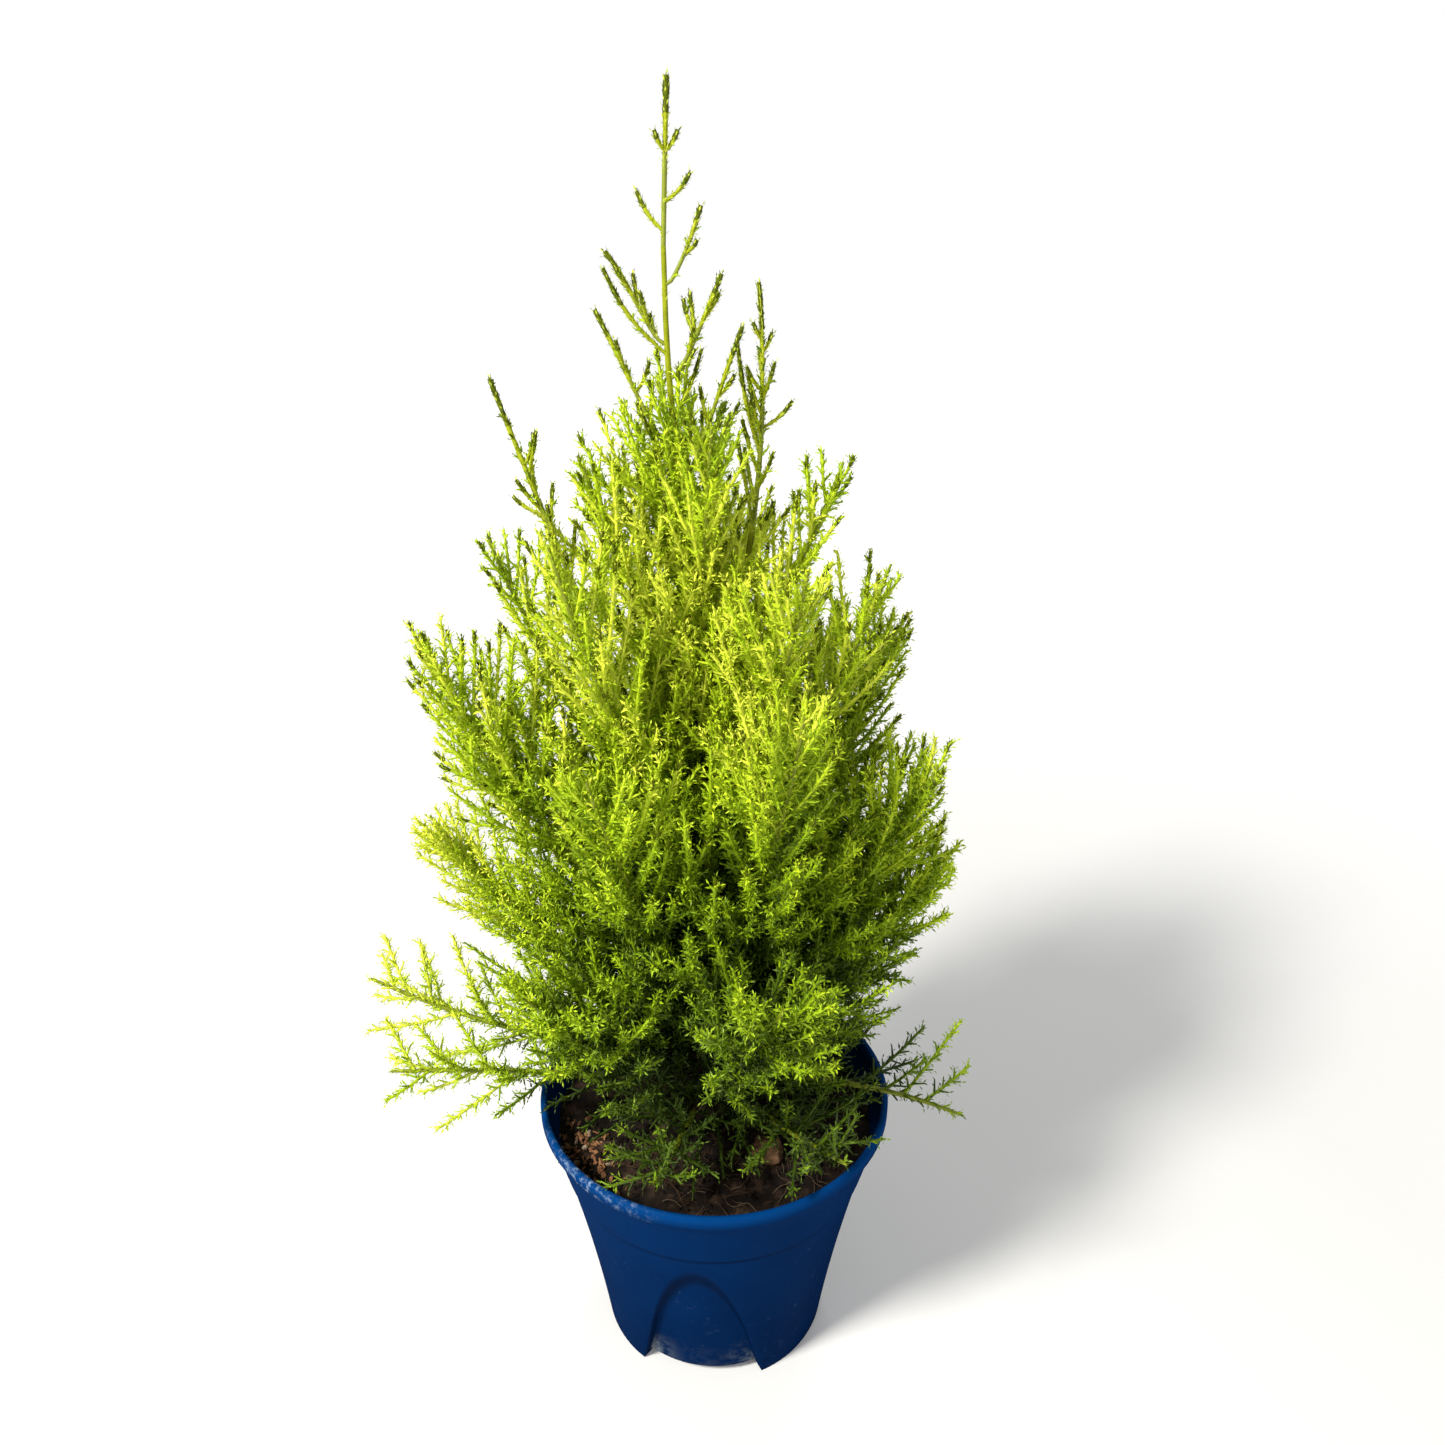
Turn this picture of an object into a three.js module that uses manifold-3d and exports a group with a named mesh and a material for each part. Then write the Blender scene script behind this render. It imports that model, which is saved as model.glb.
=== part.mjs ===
// A young golden cypress in a blue nursery pot: pot, soil, trunk, boughs and masses of foliage.
// Millimetres. X points right, Y away from the viewer, Z up, and the pot stands on Z 0.
import * as THREE from "three";
import { mergeVertices } from "three/addons/utils/BufferGeometryUtils.js";
import Module from "manifold-3d";

const wasm = await Module();
wasm.setup();

const UP = new THREE.Vector3(0, 0, 1);
const GAP = 0.3;
const FOOT_GAP = 0.35;
const CLEAR = 0.35;
const FULL_TURN = 2 * Math.PI;
const GOLDEN_ANGLE = THREE.MathUtils.degToRad(137.5);

// Pot: the wall flares evenly up to the collar, which ends in a rolled lip
const POT_HEIGHT = 145;
const FOOT_RADIUS = 60.5;
const WALL_SLOPE = 0.13;
const WALL_FLARE = 0.00045;
const WALL = 2.2;
const COLLAR_FOOT = 107;
const COLLAR_STEP = 0.9;
const COLLAR_TOP = 131;
const COLLAR_TOP_RADIUS = 86.1;
const LIP_FOOT = 137;
const LIP_FOOT_RADIUS = 89;
const LIP_RADIUS = 90.6;
const LIP_INNER_RADIUS = 87.2;
const FLOOR_UNDERSIDE = 5.5;
const FLOOR_TOP = 8;
const FOOT_INNER_RADIUS = 54;
const POT_SIDES = 30;

// Arched recesses in the lower wall, which leave three feet between them
const ARCH_COUNT = 3;
const FIRST_ARCH = THREE.MathUtils.degToRad(-7);
const ARCH_HEIGHT = 97;
const ARCH_SPRING = 39;
const ARCH_FOOT_HALF = 31.5;
const ARCH_SPRING_HALF = 25;
const ARCH_DEPTH = 4.5;
const ARCH_SCOOP = 21;
const ARCH_SHOULDER = { half: 0.83, height: 0.67 };
const ARCH_CROWN = 0.48;
const ARCH_BLOCK = { from: 40, depth: 70, below: -2, segments: 3 };

// Soil and trunk
const SOIL_TOP = 127;
const SOIL_CROWN = 3;
const TRUNK_TOP = 548;
const TRUNK_RADIUS = 5.2;
const TRUNK_TOP_RADIUS = 1;
const ROOT_FLARE = 3.5;
const ROOT_FLARE_HEIGHT = 6;
const TRUNK_SIDES = 8;
const TRUNK_STEPS = 13;
const TRUNK_LINE = new THREE.CatmullRomCurve3([
  new THREE.Vector3(-1, 0, SOIL_TOP + SOIL_CROWN + GAP),
  new THREE.Vector3(-3, 3, 230),
  new THREE.Vector3(-6, 1, 350),
  new THREE.Vector3(-12, -1, 440),
  new THREE.Vector3(-17.5, 0, 505),
  new THREE.Vector3(-18.5, 0, TRUNK_TOP),
]);

// Boughs, each with the mass it bears: compass angle from X, foot height, reach from the pot's axis,
// tip height, and the slope in degrees at the tip
const BOUGHS = {
  skirt: [
    [180, 156, 173, 210, 30],
    [193, 149, 160, 182, 8],
    [254, 151, 96, 168, 20],
    [305, 149, 104, 172, 18],
    [342, 155, 128, 158, -14],
    [40, 150, 116, 176, 20],
    [112, 153, 118, 192, 30],
  ],
  low: [
    [172, 170, 141, 292, 55],
    [228, 166, 116, 262, 52],
    [284, 174, 116, 278, 60],
    [356, 169, 110, 288, 62],
    [48, 177, 108, 262, 58],
    [116, 180, 112, 284, 60],
  ],
  middle: [
    [184, 212, 129, 394, 66],
    [242, 204, 100, 362, 68],
    [292, 216, 92, 388, 76],
    [342, 208, 102, 342, 68],
    [28, 220, 98, 390, 74],
    [100, 214, 98, 378, 70],
  ],
  spire: [
    [186, 298, 88, 500, 72],
    [28, 334, 21, 535, 97],
  ],
};
const ENTRY = { skirt: 0.3, low: 0.3, middle: 0.3, spire: 0.5 };

// Shoots that grow straight from the trunk, in the same five sizes
const SHOOTS = {
  upper: [
    [160, 262, 110, 424, 66],
    [224, 290, 84, 444, 74],
    [300, 296, 72, 436, 76],
    [357, 276, 76, 424, 72],
    [76, 304, 74, 440, 74],
  ],
  top: [
    [196, 372, 54, 467, 72],
    [354, 360, 54, 467, 72],
    [270, 388, 30, 486, 78],
    [92, 384, 34, 482, 78],
  ],
  leader: [
    [180, 470, 46, 525, 62],
    [338, 459, 13, 519, 68],
    [352, 499, 4, 538, 66],
    [182, 512, 41, 546, 52],
    [10, 534, -4, 562, 72],
  ],
};

// A line leaves its foot mostly outwards and arrives at its tip along the tip's own slope
const LEAVE_OUT = 0.3;
const LEAVE_UP = 0.2;
const ARRIVE = 0.42;

// Wood thickness: boughs are thinner the higher their foot, and taper to where they enter a mass
const BOUGH_RADIUS = 2.8;
const BOUGH_RADIUS_LOSS = 0.0031;
const BOUGH_TAPER = 0.35;
const BOUGH_SIDES = 5;
const BOUGH_STEPS = 3;
const STEM_TIP_RADIUS = 0.5;
const STEM_SIDES = 3;
const STEM_STEPS = 4;
const STEM_SUNK = 2.5;
const TWIG_RADIUS = 0.95;

// How each kind of mass branches: count of twigs, how many of the lowest fork, length of the lowest
// and of the highest twig, angle to the stem, width of a spray, and radius of the dense core, if any
const RULE = {
  skirt: { twigs: 5, forks: 0, lowest: 54, highest: 24, angle: 50, spray: 17, core: 10 },
  low: { twigs: 5, forks: 1, lowest: 60, highest: 26, angle: 44, spray: 19, core: 17 },
  middle: { twigs: 5, forks: 1, lowest: 62, highest: 26, angle: 40, spray: 19, core: 17 },
  upper: { twigs: 5, forks: 0, lowest: 54, highest: 24, angle: 38, spray: 17, core: 15 },
  spire: { twigs: 5, forks: 0, lowest: 34, highest: 14, angle: 36, spray: 9, core: 0 },
  top: { twigs: 5, forks: 0, lowest: 38, highest: 18, angle: 36, spray: 13, core: 7 },
  leader: { twigs: 2, forks: 0, lowest: 16, highest: 13, angle: 38, spray: 6, core: 0 },
  tip: { twigs: 3, forks: 0, lowest: 14, highest: 12, angle: 40, spray: 5, core: 0 },
};
const TWIG_STRETCH = [0.02, 0.86];
const UPWARD_PULL = 0.3;
const FORK_PLACE = 0.14;
const FORK_SHARE = 0.6;
const FORK_TEETH = 2;
const FORK_TURN = THREE.MathUtils.degToRad(48);
const LENGTH_SPREAD = 0.1;

// A spray is a twig that widens into teeth after its stalk, all in shares of its length or width
const STALK = 0.22;
const TEETH = 3;
const TOOTH_TIP = 0.62;
const TOOTH_RIDGE = 0.4;
const NOTCH_STEP = 0.26;
const NOTCH = 0.34;
const SPRAY_TAPER = 0.42;
const SPRAY_THICKNESS = 0.15;
const END_WIDTH = 0.7;

// Dense cores, and how a twig that does not fit is tried again, turned and a little shorter
const CORE_SIDES = 5;
const CORE_STEPS = 3;
const CORE_STRETCH = [0.02, 0.74];
const CORE_END = 0.25;
const CORE_SCALES = [1, 0.85, 0.7, 0.55];
const TRIES = 6;
const TRY_LOSS = 0.08;
const SPACE_SHARE = 0.85;
const SPINE_POINTS = 14;
const FIRST_SEED = 7;
const SEED_GAP = 101;
const SMALLEST_DETAIL = 0.05;
const LEADER_TIP = new THREE.Vector3(-16.3, 0, 605);

const MATERIALS = {
  pot: new THREE.MeshStandardMaterial({ color: 0x0b3f80, roughness: 0.42, metalness: 0 }),
  soil: new THREE.MeshStandardMaterial({ color: 0x2e1f18, roughness: 0.95, metalness: 0 }),
  bark: new THREE.MeshStandardMaterial({ color: 0x76603a, roughness: 0.85, metalness: 0 }),
  foliage: new THREE.MeshStandardMaterial({ color: 0x9fcc1e, roughness: 0.6, metalness: 0 }),
};

// Seeded draws between 0 and 1
const SEED_STEP = 1664525;
const SEED_SHIFT = 1013904223;
const SEED_RANGE = 4294967296;
function draws(seed) {
  let state = seed >>> 0;
  return (low = 0, high = 1) => {
    state = (Math.imul(state, SEED_STEP) + SEED_SHIFT) >>> 0;
    return low + ((high - low) * state) / SEED_RANGE;
  };
}

// Solids
function solidFrom(points, triangles) {
  const vertProperties = new Float32Array(points.flatMap((p) => [p.x, p.y, p.z]));
  const mesh = new wasm.Mesh({ numProp: 3, vertProperties, triVerts: new Uint32Array(triangles) });
  return new wasm.Manifold(mesh);
}

function solidOf(geometry) {
  geometry.deleteAttribute("normal");
  geometry.deleteAttribute("uv");
  const merged = mergeVertices(geometry, 1e-3);
  const place = merged.getAttribute("position");
  const points = Array.from({ length: place.count }, (_, i) =>
    new THREE.Vector3().fromBufferAttribute(place, i),
  );
  const triangles = [];
  for (let i = 0; i < merged.index.count; i += 3) {
    const corners = [0, 1, 2].map((c) => merged.index.getX(i + c));
    if (new Set(corners).size === 3) triangles.push(...corners);
  }
  return solidFrom(points, triangles);
}

function meshOf(name, solid, material) {
  const { vertProperties, triVerts } = solid.getMesh();
  const geometry = new THREE.BufferGeometry();
  geometry.setAttribute("position", new THREE.BufferAttribute(vertProperties, 3));
  geometry.setIndex(new THREE.BufferAttribute(triVerts, 1));
  const mesh = new THREE.Mesh(geometry, material);
  mesh.name = name;
  return mesh;
}

// A solid through rings of points, each ring turning left as seen from ahead of it
function loft(rings) {
  const sides = rings[0].length;
  const triangles = [];
  for (let r = 0; r + 1 < rings.length; r++)
    for (let s = 0; s < sides; s++) {
      const here = r * sides + s;
      const beside = r * sides + ((s + 1) % sides);
      triangles.push(here, beside, beside + sides, here, beside + sides, here + sides);
    }
  const last = (rings.length - 1) * sides;
  for (let s = 1; s + 1 < sides; s++) {
    triangles.push(0, s + 1, s);
    triangles.push(last, last + s, last + s + 1);
  }
  return solidFrom(rings.flat(), triangles);
}

function across(direction, hint) {
  const side = hint.clone().addScaledVector(direction, -hint.dot(direction));
  return side.normalize();
}

function ring(centre, direction, hint, radius, sides) {
  const side = across(direction, hint);
  const other = new THREE.Vector3().crossVectors(direction, side);
  return Array.from({ length: sides }, (_, i) => {
    const turn = (i / sides) * FULL_TURN;
    return centre
      .clone()
      .addScaledVector(side, radius * Math.cos(turn))
      .addScaledVector(other, radius * Math.sin(turn));
  });
}

// A tapering limb along a stretch of a curve, whose foot may be cut square to another way
function limb(curve, from, to, radiusAt, sides, steps, hint, footWay) {
  const rings = [];
  for (let i = 0; i <= steps; i++) {
    const share = from + ((to - from) * i) / steps;
    const way = i === 0 && footWay ? footWay : curve.getTangentAt(share);
    rings.push(ring(curve.getPointAt(share), way, hint, radiusAt(share), sides));
  }
  return loft(rings);
}

// Pot and soil
function wallRadius(height) {
  return FOOT_RADIUS + WALL_SLOPE * height + WALL_FLARE * height * height;
}

function turned(profile) {
  const points = profile.map(([radius, height]) => new THREE.Vector2(radius, height));
  const lathe = new THREE.LatheGeometry(points, POT_SIDES);
  lathe.rotateX(Math.PI / 2);
  return solidOf(lathe);
}

function wallLine(inset, from, to, steps) {
  return Array.from({ length: steps + 1 }, (_, i) => {
    const height = from + ((to - from) * i) / steps;
    return [wallRadius(height) - inset, height];
  });
}

function potHollow(inset, floor, top) {
  return turned([
    [0, floor],
    ...wallLine(inset, floor, COLLAR_FOOT, 2),
    [COLLAR_TOP_RADIUS - inset, COLLAR_TOP],
    ...top,
  ]);
}

// The arch outline grown by a wall thickness, drawn out along one radius of the pot
function archBlock(grown, angle) {
  const shape = new THREE.Shape();
  const foot = ARCH_FOOT_HALF + grown;
  const spring = ARCH_SPRING_HALF + grown;
  const top = ARCH_HEIGHT + grown;
  shape.moveTo(-foot, ARCH_BLOCK.below);
  shape.lineTo(foot, ARCH_BLOCK.below);
  shape.lineTo(spring, ARCH_SPRING);
  const shoulder = { half: ARCH_SHOULDER.half * spring, height: ARCH_SHOULDER.height * top };
  const crown = ARCH_CROWN * spring;
  shape.bezierCurveTo(shoulder.half, shoulder.height, crown, top, 0, top);
  shape.bezierCurveTo(-crown, top, -shoulder.half, shoulder.height, -spring, ARCH_SPRING);
  shape.lineTo(-foot, ARCH_BLOCK.below);
  const { from, depth, segments } = ARCH_BLOCK;
  const block = new THREE.ExtrudeGeometry(shape, { depth, bevelEnabled: false, curveSegments: segments });
  block.rotateX(Math.PI / 2);
  block.translate(0, -from, 0);
  block.rotateZ(angle);
  return solidOf(block);
}

// What the arches take out of a wall whose surface lies an inset inside the pot's outer one
function archRecess(inset) {
  const panelTop = ARCH_HEIGHT - ARCH_SCOOP;
  const above = ARCH_HEIGHT + ARCH_DEPTH + inset;
  const panel = turned([
    [0, FLOOR_UNDERSIDE - inset],
    ...wallLine(ARCH_DEPTH + inset, FLOOR_UNDERSIDE - inset, panelTop, 1),
    [wallRadius(ARCH_HEIGHT) - inset, ARCH_HEIGHT],
    [wallRadius(above) - inset, above],
    [0, above],
  ]);
  let blocks = null;
  for (let i = 0; i < ARCH_COUNT; i++) {
    const block = archBlock(inset, FIRST_ARCH + (i / ARCH_COUNT) * FULL_TURN);
    blocks = blocks ? blocks.add(block) : block;
  }
  return blocks.subtract(panel);
}

function buildPot() {
  const outside = turned([
    [0, 0],
    [FOOT_RADIUS - 1, 0],
    [wallRadius(1), 1],
    ...wallLine(0, 36, COLLAR_FOOT, 2),
    [wallRadius(COLLAR_FOOT) + COLLAR_STEP, COLLAR_FOOT + 0.6],
    [COLLAR_TOP_RADIUS, COLLAR_TOP],
    [LIP_FOOT_RADIUS, LIP_FOOT],
    [LIP_RADIUS - 0.3, LIP_FOOT + 1.5],
    [LIP_RADIUS, LIP_FOOT + 4.5],
    [LIP_RADIUS - 0.9, POT_HEIGHT - 0.7],
    [LIP_RADIUS - 2, POT_HEIGHT],
    [0, POT_HEIGHT],
  ]);
  const mouth = [
    [LIP_INNER_RADIUS - 0.7, LIP_FOOT],
    [LIP_INNER_RADIUS, POT_HEIGHT - 0.8],
    [LIP_INNER_RADIUS + 0.8, POT_HEIGHT + 1],
    [0, POT_HEIGHT + 1],
  ];
  const hollow = potHollow(WALL, FLOOR_TOP, mouth).subtract(archRecess(WALL));
  const underside = turned([
    [0, -1],
    [FOOT_INNER_RADIUS, -1],
    [FOOT_INNER_RADIUS, FLOOR_UNDERSIDE],
    [0, FLOOR_UNDERSIDE],
  ]);
  return outside.subtract(archRecess(0)).subtract(hollow).subtract(underside).simplify(SMALLEST_DETAIL);
}

function buildSoil() {
  const inset = WALL + GAP;
  const shoulder = COLLAR_TOP_RADIUS - inset - 1.5;
  const top = [
    [0.55 * shoulder, SOIL_TOP + SOIL_CROWN - 1],
    [14, SOIL_TOP + SOIL_CROWN],
    [0, SOIL_TOP + SOIL_CROWN],
  ];
  const body = turned([
    [0, FLOOR_TOP + GAP],
    ...wallLine(inset, FLOOR_TOP + GAP, COLLAR_FOOT, 2),
    [shoulder, SOIL_TOP],
    ...top,
  ]);
  return body.subtract(archRecess(inset)).simplify(SMALLEST_DETAIL);
}

// Trunk
function trunkRadius(share) {
  const height = share * (TRUNK_TOP - SOIL_TOP);
  const taper = TRUNK_TOP_RADIUS + (TRUNK_RADIUS - TRUNK_TOP_RADIUS) * (1 - share);
  return taper + ROOT_FLARE * Math.exp(-height / ROOT_FLARE_HEIGHT);
}

function trunkShareAt(height) {
  let low = 0;
  let high = 1;
  for (let i = 0; i < 30; i++) {
    const middle = (low + high) / 2;
    if (TRUNK_LINE.getPointAt(middle).z < height) low = middle;
    else high = middle;
  }
  return low;
}

// The flare is steep, so the first rings stand closer together than the rest
function buildTrunk() {
  const rings = [];
  for (let i = 0; i <= TRUNK_STEPS; i++) {
    const share = Math.pow(i / TRUNK_STEPS, 1.7);
    const direction = i === 0 ? UP : TRUNK_LINE.getTangentAt(share);
    const hint = new THREE.Vector3(1, 0, 0);
    rings.push(ring(TRUNK_LINE.getPointAt(share), direction, hint, trunkRadius(share), TRUNK_SIDES));
  }
  return loft(rings);
}

// Boughs: one line runs from the trunk to the tip of the mass, out first and then up
function growthLine([compass, foot, reach, tipHeight, slope]) {
  const share = trunkShareAt(foot);
  const axis = TRUNK_LINE.getPointAt(share);
  const angle = THREE.MathUtils.degToRad(compass);
  const tip = new THREE.Vector3(reach * Math.cos(angle), reach * Math.sin(angle), tipHeight);
  const out = tip.clone().sub(axis).setZ(0).normalize();
  const wide = Math.hypot(tip.x - axis.x, tip.y - axis.y);
  const leaveWay = out.clone().multiplyScalar(LEAVE_OUT * wide);
  leaveWay.addScaledVector(UP, LEAVE_UP * (tipHeight - foot));
  const radius = BOUGH_RADIUS - BOUGH_RADIUS_LOSS * (foot - SOIL_TOP);
  const start = axis.clone().addScaledVector(out, trunkRadius(share) + FOOT_GAP);
  const tipSlope = THREE.MathUtils.degToRad(slope);
  const tipWay = out.clone().multiplyScalar(Math.cos(tipSlope)).addScaledVector(UP, Math.sin(tipSlope));
  const arrive = tip.clone().addScaledVector(tipWay, -ARRIVE * start.distanceTo(tip));
  const curve = new THREE.CubicBezierCurve3(start, start.clone().add(leaveWay), arrive, tip);
  return { curve, radius, out, side: new THREE.Vector3().crossVectors(UP, out) };
}

// A twig that widens into a spray of needles: three-sided all along, with a flat toothed underside
function spray(root, way, flat, length, width, teeth) {
  const side = across(way, flat);
  const ridgeWay = new THREE.Vector3().crossVectors(way, side);
  const points = [];
  const add = (along, wide, high) => {
    const point = root.clone().addScaledVector(way, along * length);
    return points.push(point.addScaledVector(side, wide).addScaledVector(ridgeWay, high)) - 1;
  };
  const pitch = (1 - STALK) / (teeth + 1 - TOOTH_TIP);
  const edge = [
    { along: 0, half: TWIG_RADIUS, ridge: 0 },
    { along: STALK, half: 0.75 * TWIG_RADIUS, ridge: 1 },
  ];
  for (let t = 0; t < teeth; t++) {
    const along = STALK + (t + TOOTH_TIP) * pitch;
    const half = (width / 2) * (1 - (SPRAY_TAPER * t) / teeth);
    edge.push({ along, half, ridge: t + 1 });
    if (t + 1 === teeth) continue;
    edge.push({ along: along + NOTCH_STEP * pitch, half: NOTCH * half, ridge: t + 2 });
  }
  const left = edge.map(({ along, half }) => add(along, half, 0));
  const right = edge.map(({ along, half }) => add(along, -half, 0));
  const tip = add(1, 0, 0);
  left.push(tip);
  right.push(tip);
  edge.push({ ridge: teeth });
  const ridge = [add(0, 0, TWIG_RADIUS)];
  for (let t = 0; t < teeth; t++)
    ridge.push(add(STALK + (t + TOOTH_RIDGE) * pitch, 0, width * SPRAY_THICKNESS));
  const triangles = [ridge[0], left[0], right[0]];
  for (let e = 0; e + 1 < edge.length; e++) {
    const here = ridge[edge[e].ridge];
    const next = ridge[edge[e + 1].ridge];
    triangles.push(here, left[e + 1], left[e], here, right[e], right[e + 1]);
    if (here !== next) triangles.push(here, next, left[e + 1], next, here, right[e + 1]);
    triangles.push(left[e], right[e + 1], right[e]);
    if (left[e + 1] !== tip) triangles.push(left[e], left[e + 1], right[e + 1]);
  }
  return solidFrom(points, triangles);
}

// Whether two solids keep a clearance
function apart(a, b, clearance) {
  const [boxA, boxB] = [a.boundingBox(), b.boundingBox()];
  const far = [0, 1, 2].some(
    (i) => boxA.min[i] - boxB.max[i] > clearance || boxB.min[i] - boxA.max[i] > clearance,
  );
  return far || a.minGap(b, clearance) >= clearance;
}

function distanceTo(points, place) {
  return Math.min(...points.map((point) => point.distanceTo(place)));
}

// A dense mass has a slim core round the lower part of its stem
function coreOf(mass, scale) {
  const radius = RULE[mass.kind].core * scale;
  const [from, to] = CORE_STRETCH.map((share) => mass.start + (1 - mass.start) * share);
  const bulge = (share) => Math.sin((Math.PI * (share - from)) / (to - from));
  const radiusAt = (share) => radius * (CORE_END + (1 - CORE_END) * bulge(share));
  return limb(mass.curve, from, to, radiusAt, CORE_SIDES, CORE_STEPS, mass.side);
}

// A twig from a mass's stem, with a forked one on its side where the rule has forks
function twigOf(mass, index, turn, scale) {
  const rule = RULE[mass.kind];
  const share = (index + 0.5) / rule.twigs;
  const [foot, head] = TWIG_STRETCH;
  const place = mass.start + (1 - mass.start) * (foot + (head - foot) * share);
  const root = mass.curve.getPointAt(place);
  const stemWay = mass.curve.getTangentAt(place);
  const even = rule.lowest + (rule.highest - rule.lowest) * share;
  const length = scale * even * mass.draw(1 - LENGTH_SPREAD, 1 + LENGTH_SPREAD);
  const outward = across(stemWay, mass.side).applyAxisAngle(stemWay, turn);
  const angle = THREE.MathUtils.degToRad(rule.angle);
  const way = stemWay.clone().multiplyScalar(Math.cos(angle)).addScaledVector(outward, Math.sin(angle));
  way.addScaledVector(UP, UPWARD_PULL).normalize();
  const flat = across(way, UP).applyAxisAngle(way, mass.draw(0, Math.PI));
  const along = (distance) => root.clone().addScaledVector(way, distance);
  let solid = spray(root, way, flat, length, scale * rule.spray, TEETH);
  const ends = [along(length), along(length / 2)];
  if (index < rule.forks) {
    const hinge = new THREE.Vector3().crossVectors(way, flat);
    const forkWay = way.clone().applyAxisAngle(hinge, mass.draw() < 0.5 ? FORK_TURN : -FORK_TURN);
    const forkRoot = along(FORK_PLACE * length);
    const forkLength = FORK_SHARE * length;
    const forked = spray(forkRoot, forkWay, hinge, forkLength, FORK_SHARE * rule.spray, FORK_TEETH);
    solid = solid.add(forked);
    ends.push(forkRoot.addScaledVector(forkWay, forkLength));
  }
  return { solid, ends };
}

// A plan of every limb and mass before any twig is grown
function planGrowth() {
  const boughs = [];
  const masses = [];
  let seed = FIRST_SEED;
  const addMass = (name, kind, curve, side, start, radius, footWay) => {
    const rule = RULE[kind];
    const radiusAt = (share) => radius + ((STEM_TIP_RADIUS - radius) * (share - start)) / (1 - start);
    const stemEnd = 1 - (rule.highest - STEM_SUNK) / curve.getLength();
    const stem = limb(curve, start, stemEnd, radiusAt, STEM_SIDES, STEM_STEPS, side, footWay);
    const tip = curve.getPointAt(1);
    const spine = Array.from({ length: SPINE_POINTS }, (_, i) =>
      curve.getPointAt(start + ((1 - start) * i) / (SPINE_POINTS - 1)),
    );
    seed += SEED_GAP;
    const draw = draws(seed);
    const mass = { name, kind, curve, side, start, draw, spine, solid: stem, turn: draw(0, FULL_TURN) };
    const endRoot = curve.getPointAt(1 - rule.highest / curve.getLength());
    const endWay = tip.clone().sub(endRoot).normalize();
    const flat = across(endWay, UP).applyAxisAngle(endWay, draw(0, Math.PI));
    const endLength = tip.distanceTo(endRoot);
    mass.solid = stem.add(spray(endRoot, endWay, flat, endLength, END_WIDTH * rule.spray, TEETH));
    masses.push(mass);
  };
  for (const [kind, rows] of Object.entries(BOUGHS))
    rows.forEach((row, i) => {
      const { curve, radius, out, side } = growthLine(row);
      const end = ENTRY[kind];
      const radiusAt = (share) => radius * (1 - (BOUGH_TAPER * share) / end);
      boughs.push({
        name: `${kind}_bough_${i + 1}`,
        solid: limb(curve, 0, end, radiusAt, BOUGH_SIDES, BOUGH_STEPS, side, out),
      });
      const start = end + GAP / curve.getLength();
      addMass(`${kind}_mass_${i + 1}`, kind, curve, side, start, radiusAt(end));
    });
  for (const [kind, rows] of Object.entries(SHOOTS))
    rows.forEach((row, i) => {
      const { curve, radius, out, side } = growthLine(row);
      addMass(`${kind}_mass_${i + 1}`, kind, curve, side, 0, radius, out);
    });
  const top = TRUNK_LINE.getPointAt(1);
  const leader = new THREE.LineCurve3(top.setZ(TRUNK_TOP + GAP), LEADER_TIP);
  addMass("leader_tip", "tip", leader, new THREE.Vector3(1, 0, 0), 0, TRUNK_TOP_RADIUS);
  return { boughs, masses };
}

// Twigs are added in turn to every mass, and each keeps to its mass's space and clear of all else
function growMasses(masses, limbs) {
  const fits = (mass, solid, ends) => {
    const others = masses.filter((other) => other !== mass);
    for (const end of ends) {
      const own = distanceTo(mass.spine, end);
      if (others.some((other) => distanceTo(other.spine, end) < own * SPACE_SHARE)) return false;
    }
    const near = [...limbs, ...others.map((other) => other.solid)];
    return near.every((other) => apart(solid, other, CLEAR));
  };
  for (const mass of masses) {
    if (!RULE[mass.kind].core) continue;
    const scale = CORE_SCALES.find((s) => fits(mass, coreOf(mass, s), []));
    if (scale) mass.solid = mass.solid.add(coreOf(mass, scale));
  }
  const most = Math.max(...Object.values(RULE).map((rule) => rule.twigs));
  for (let index = 0; index < most; index++)
    for (const mass of masses) {
      if (index >= RULE[mass.kind].twigs) continue;
      for (let attempt = 0; attempt < TRIES; attempt++) {
        mass.turn += GOLDEN_ANGLE;
        const { solid, ends } = twigOf(mass, index, mass.turn, 1 - TRY_LOSS * attempt);
        if (!fits(mass, solid, ends)) continue;
        mass.solid = mass.solid.add(solid);
        break;
      }
    }
}

// One closed body: a loose scrap is dropped, and so is a sealed hollow's inner skin
function wholeBody(solid) {
  const bodies = solid.simplify(SMALLEST_DETAIL).decompose();
  return bodies.reduce((best, body) => (body.volume() > best.volume() ? body : best));
}

const pot = buildPot();
const soil = buildSoil();
const trunk = buildTrunk();
const { boughs, masses } = planGrowth();
growMasses(masses, [pot, soil, trunk, ...boughs.map((bough) => bough.solid)]);

const plant = new THREE.Group();
plant.add(meshOf("pot", pot, MATERIALS.pot));
plant.add(meshOf("soil", soil, MATERIALS.soil));
plant.add(meshOf("trunk", trunk, MATERIALS.bark));
for (const bough of boughs) plant.add(meshOf(bough.name, bough.solid, MATERIALS.bark));
for (const mass of masses) plant.add(meshOf(mass.name, wholeBody(mass.solid), MATERIALS.foliage));

// The origin lies on the ground below the middle of the whole plant
const middle = new THREE.Box3().setFromObject(plant).getCenter(new THREE.Vector3());
plant.position.set(-middle.x, -middle.y, 0);

export default plant;
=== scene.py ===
"""Looks of a young golden cypress in a blue nursery pot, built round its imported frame.

Growth is worked out in millimetres from the pot's axis, as in the frame, and placed in metres.
"""

import math
from collections import namedtuple

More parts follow.
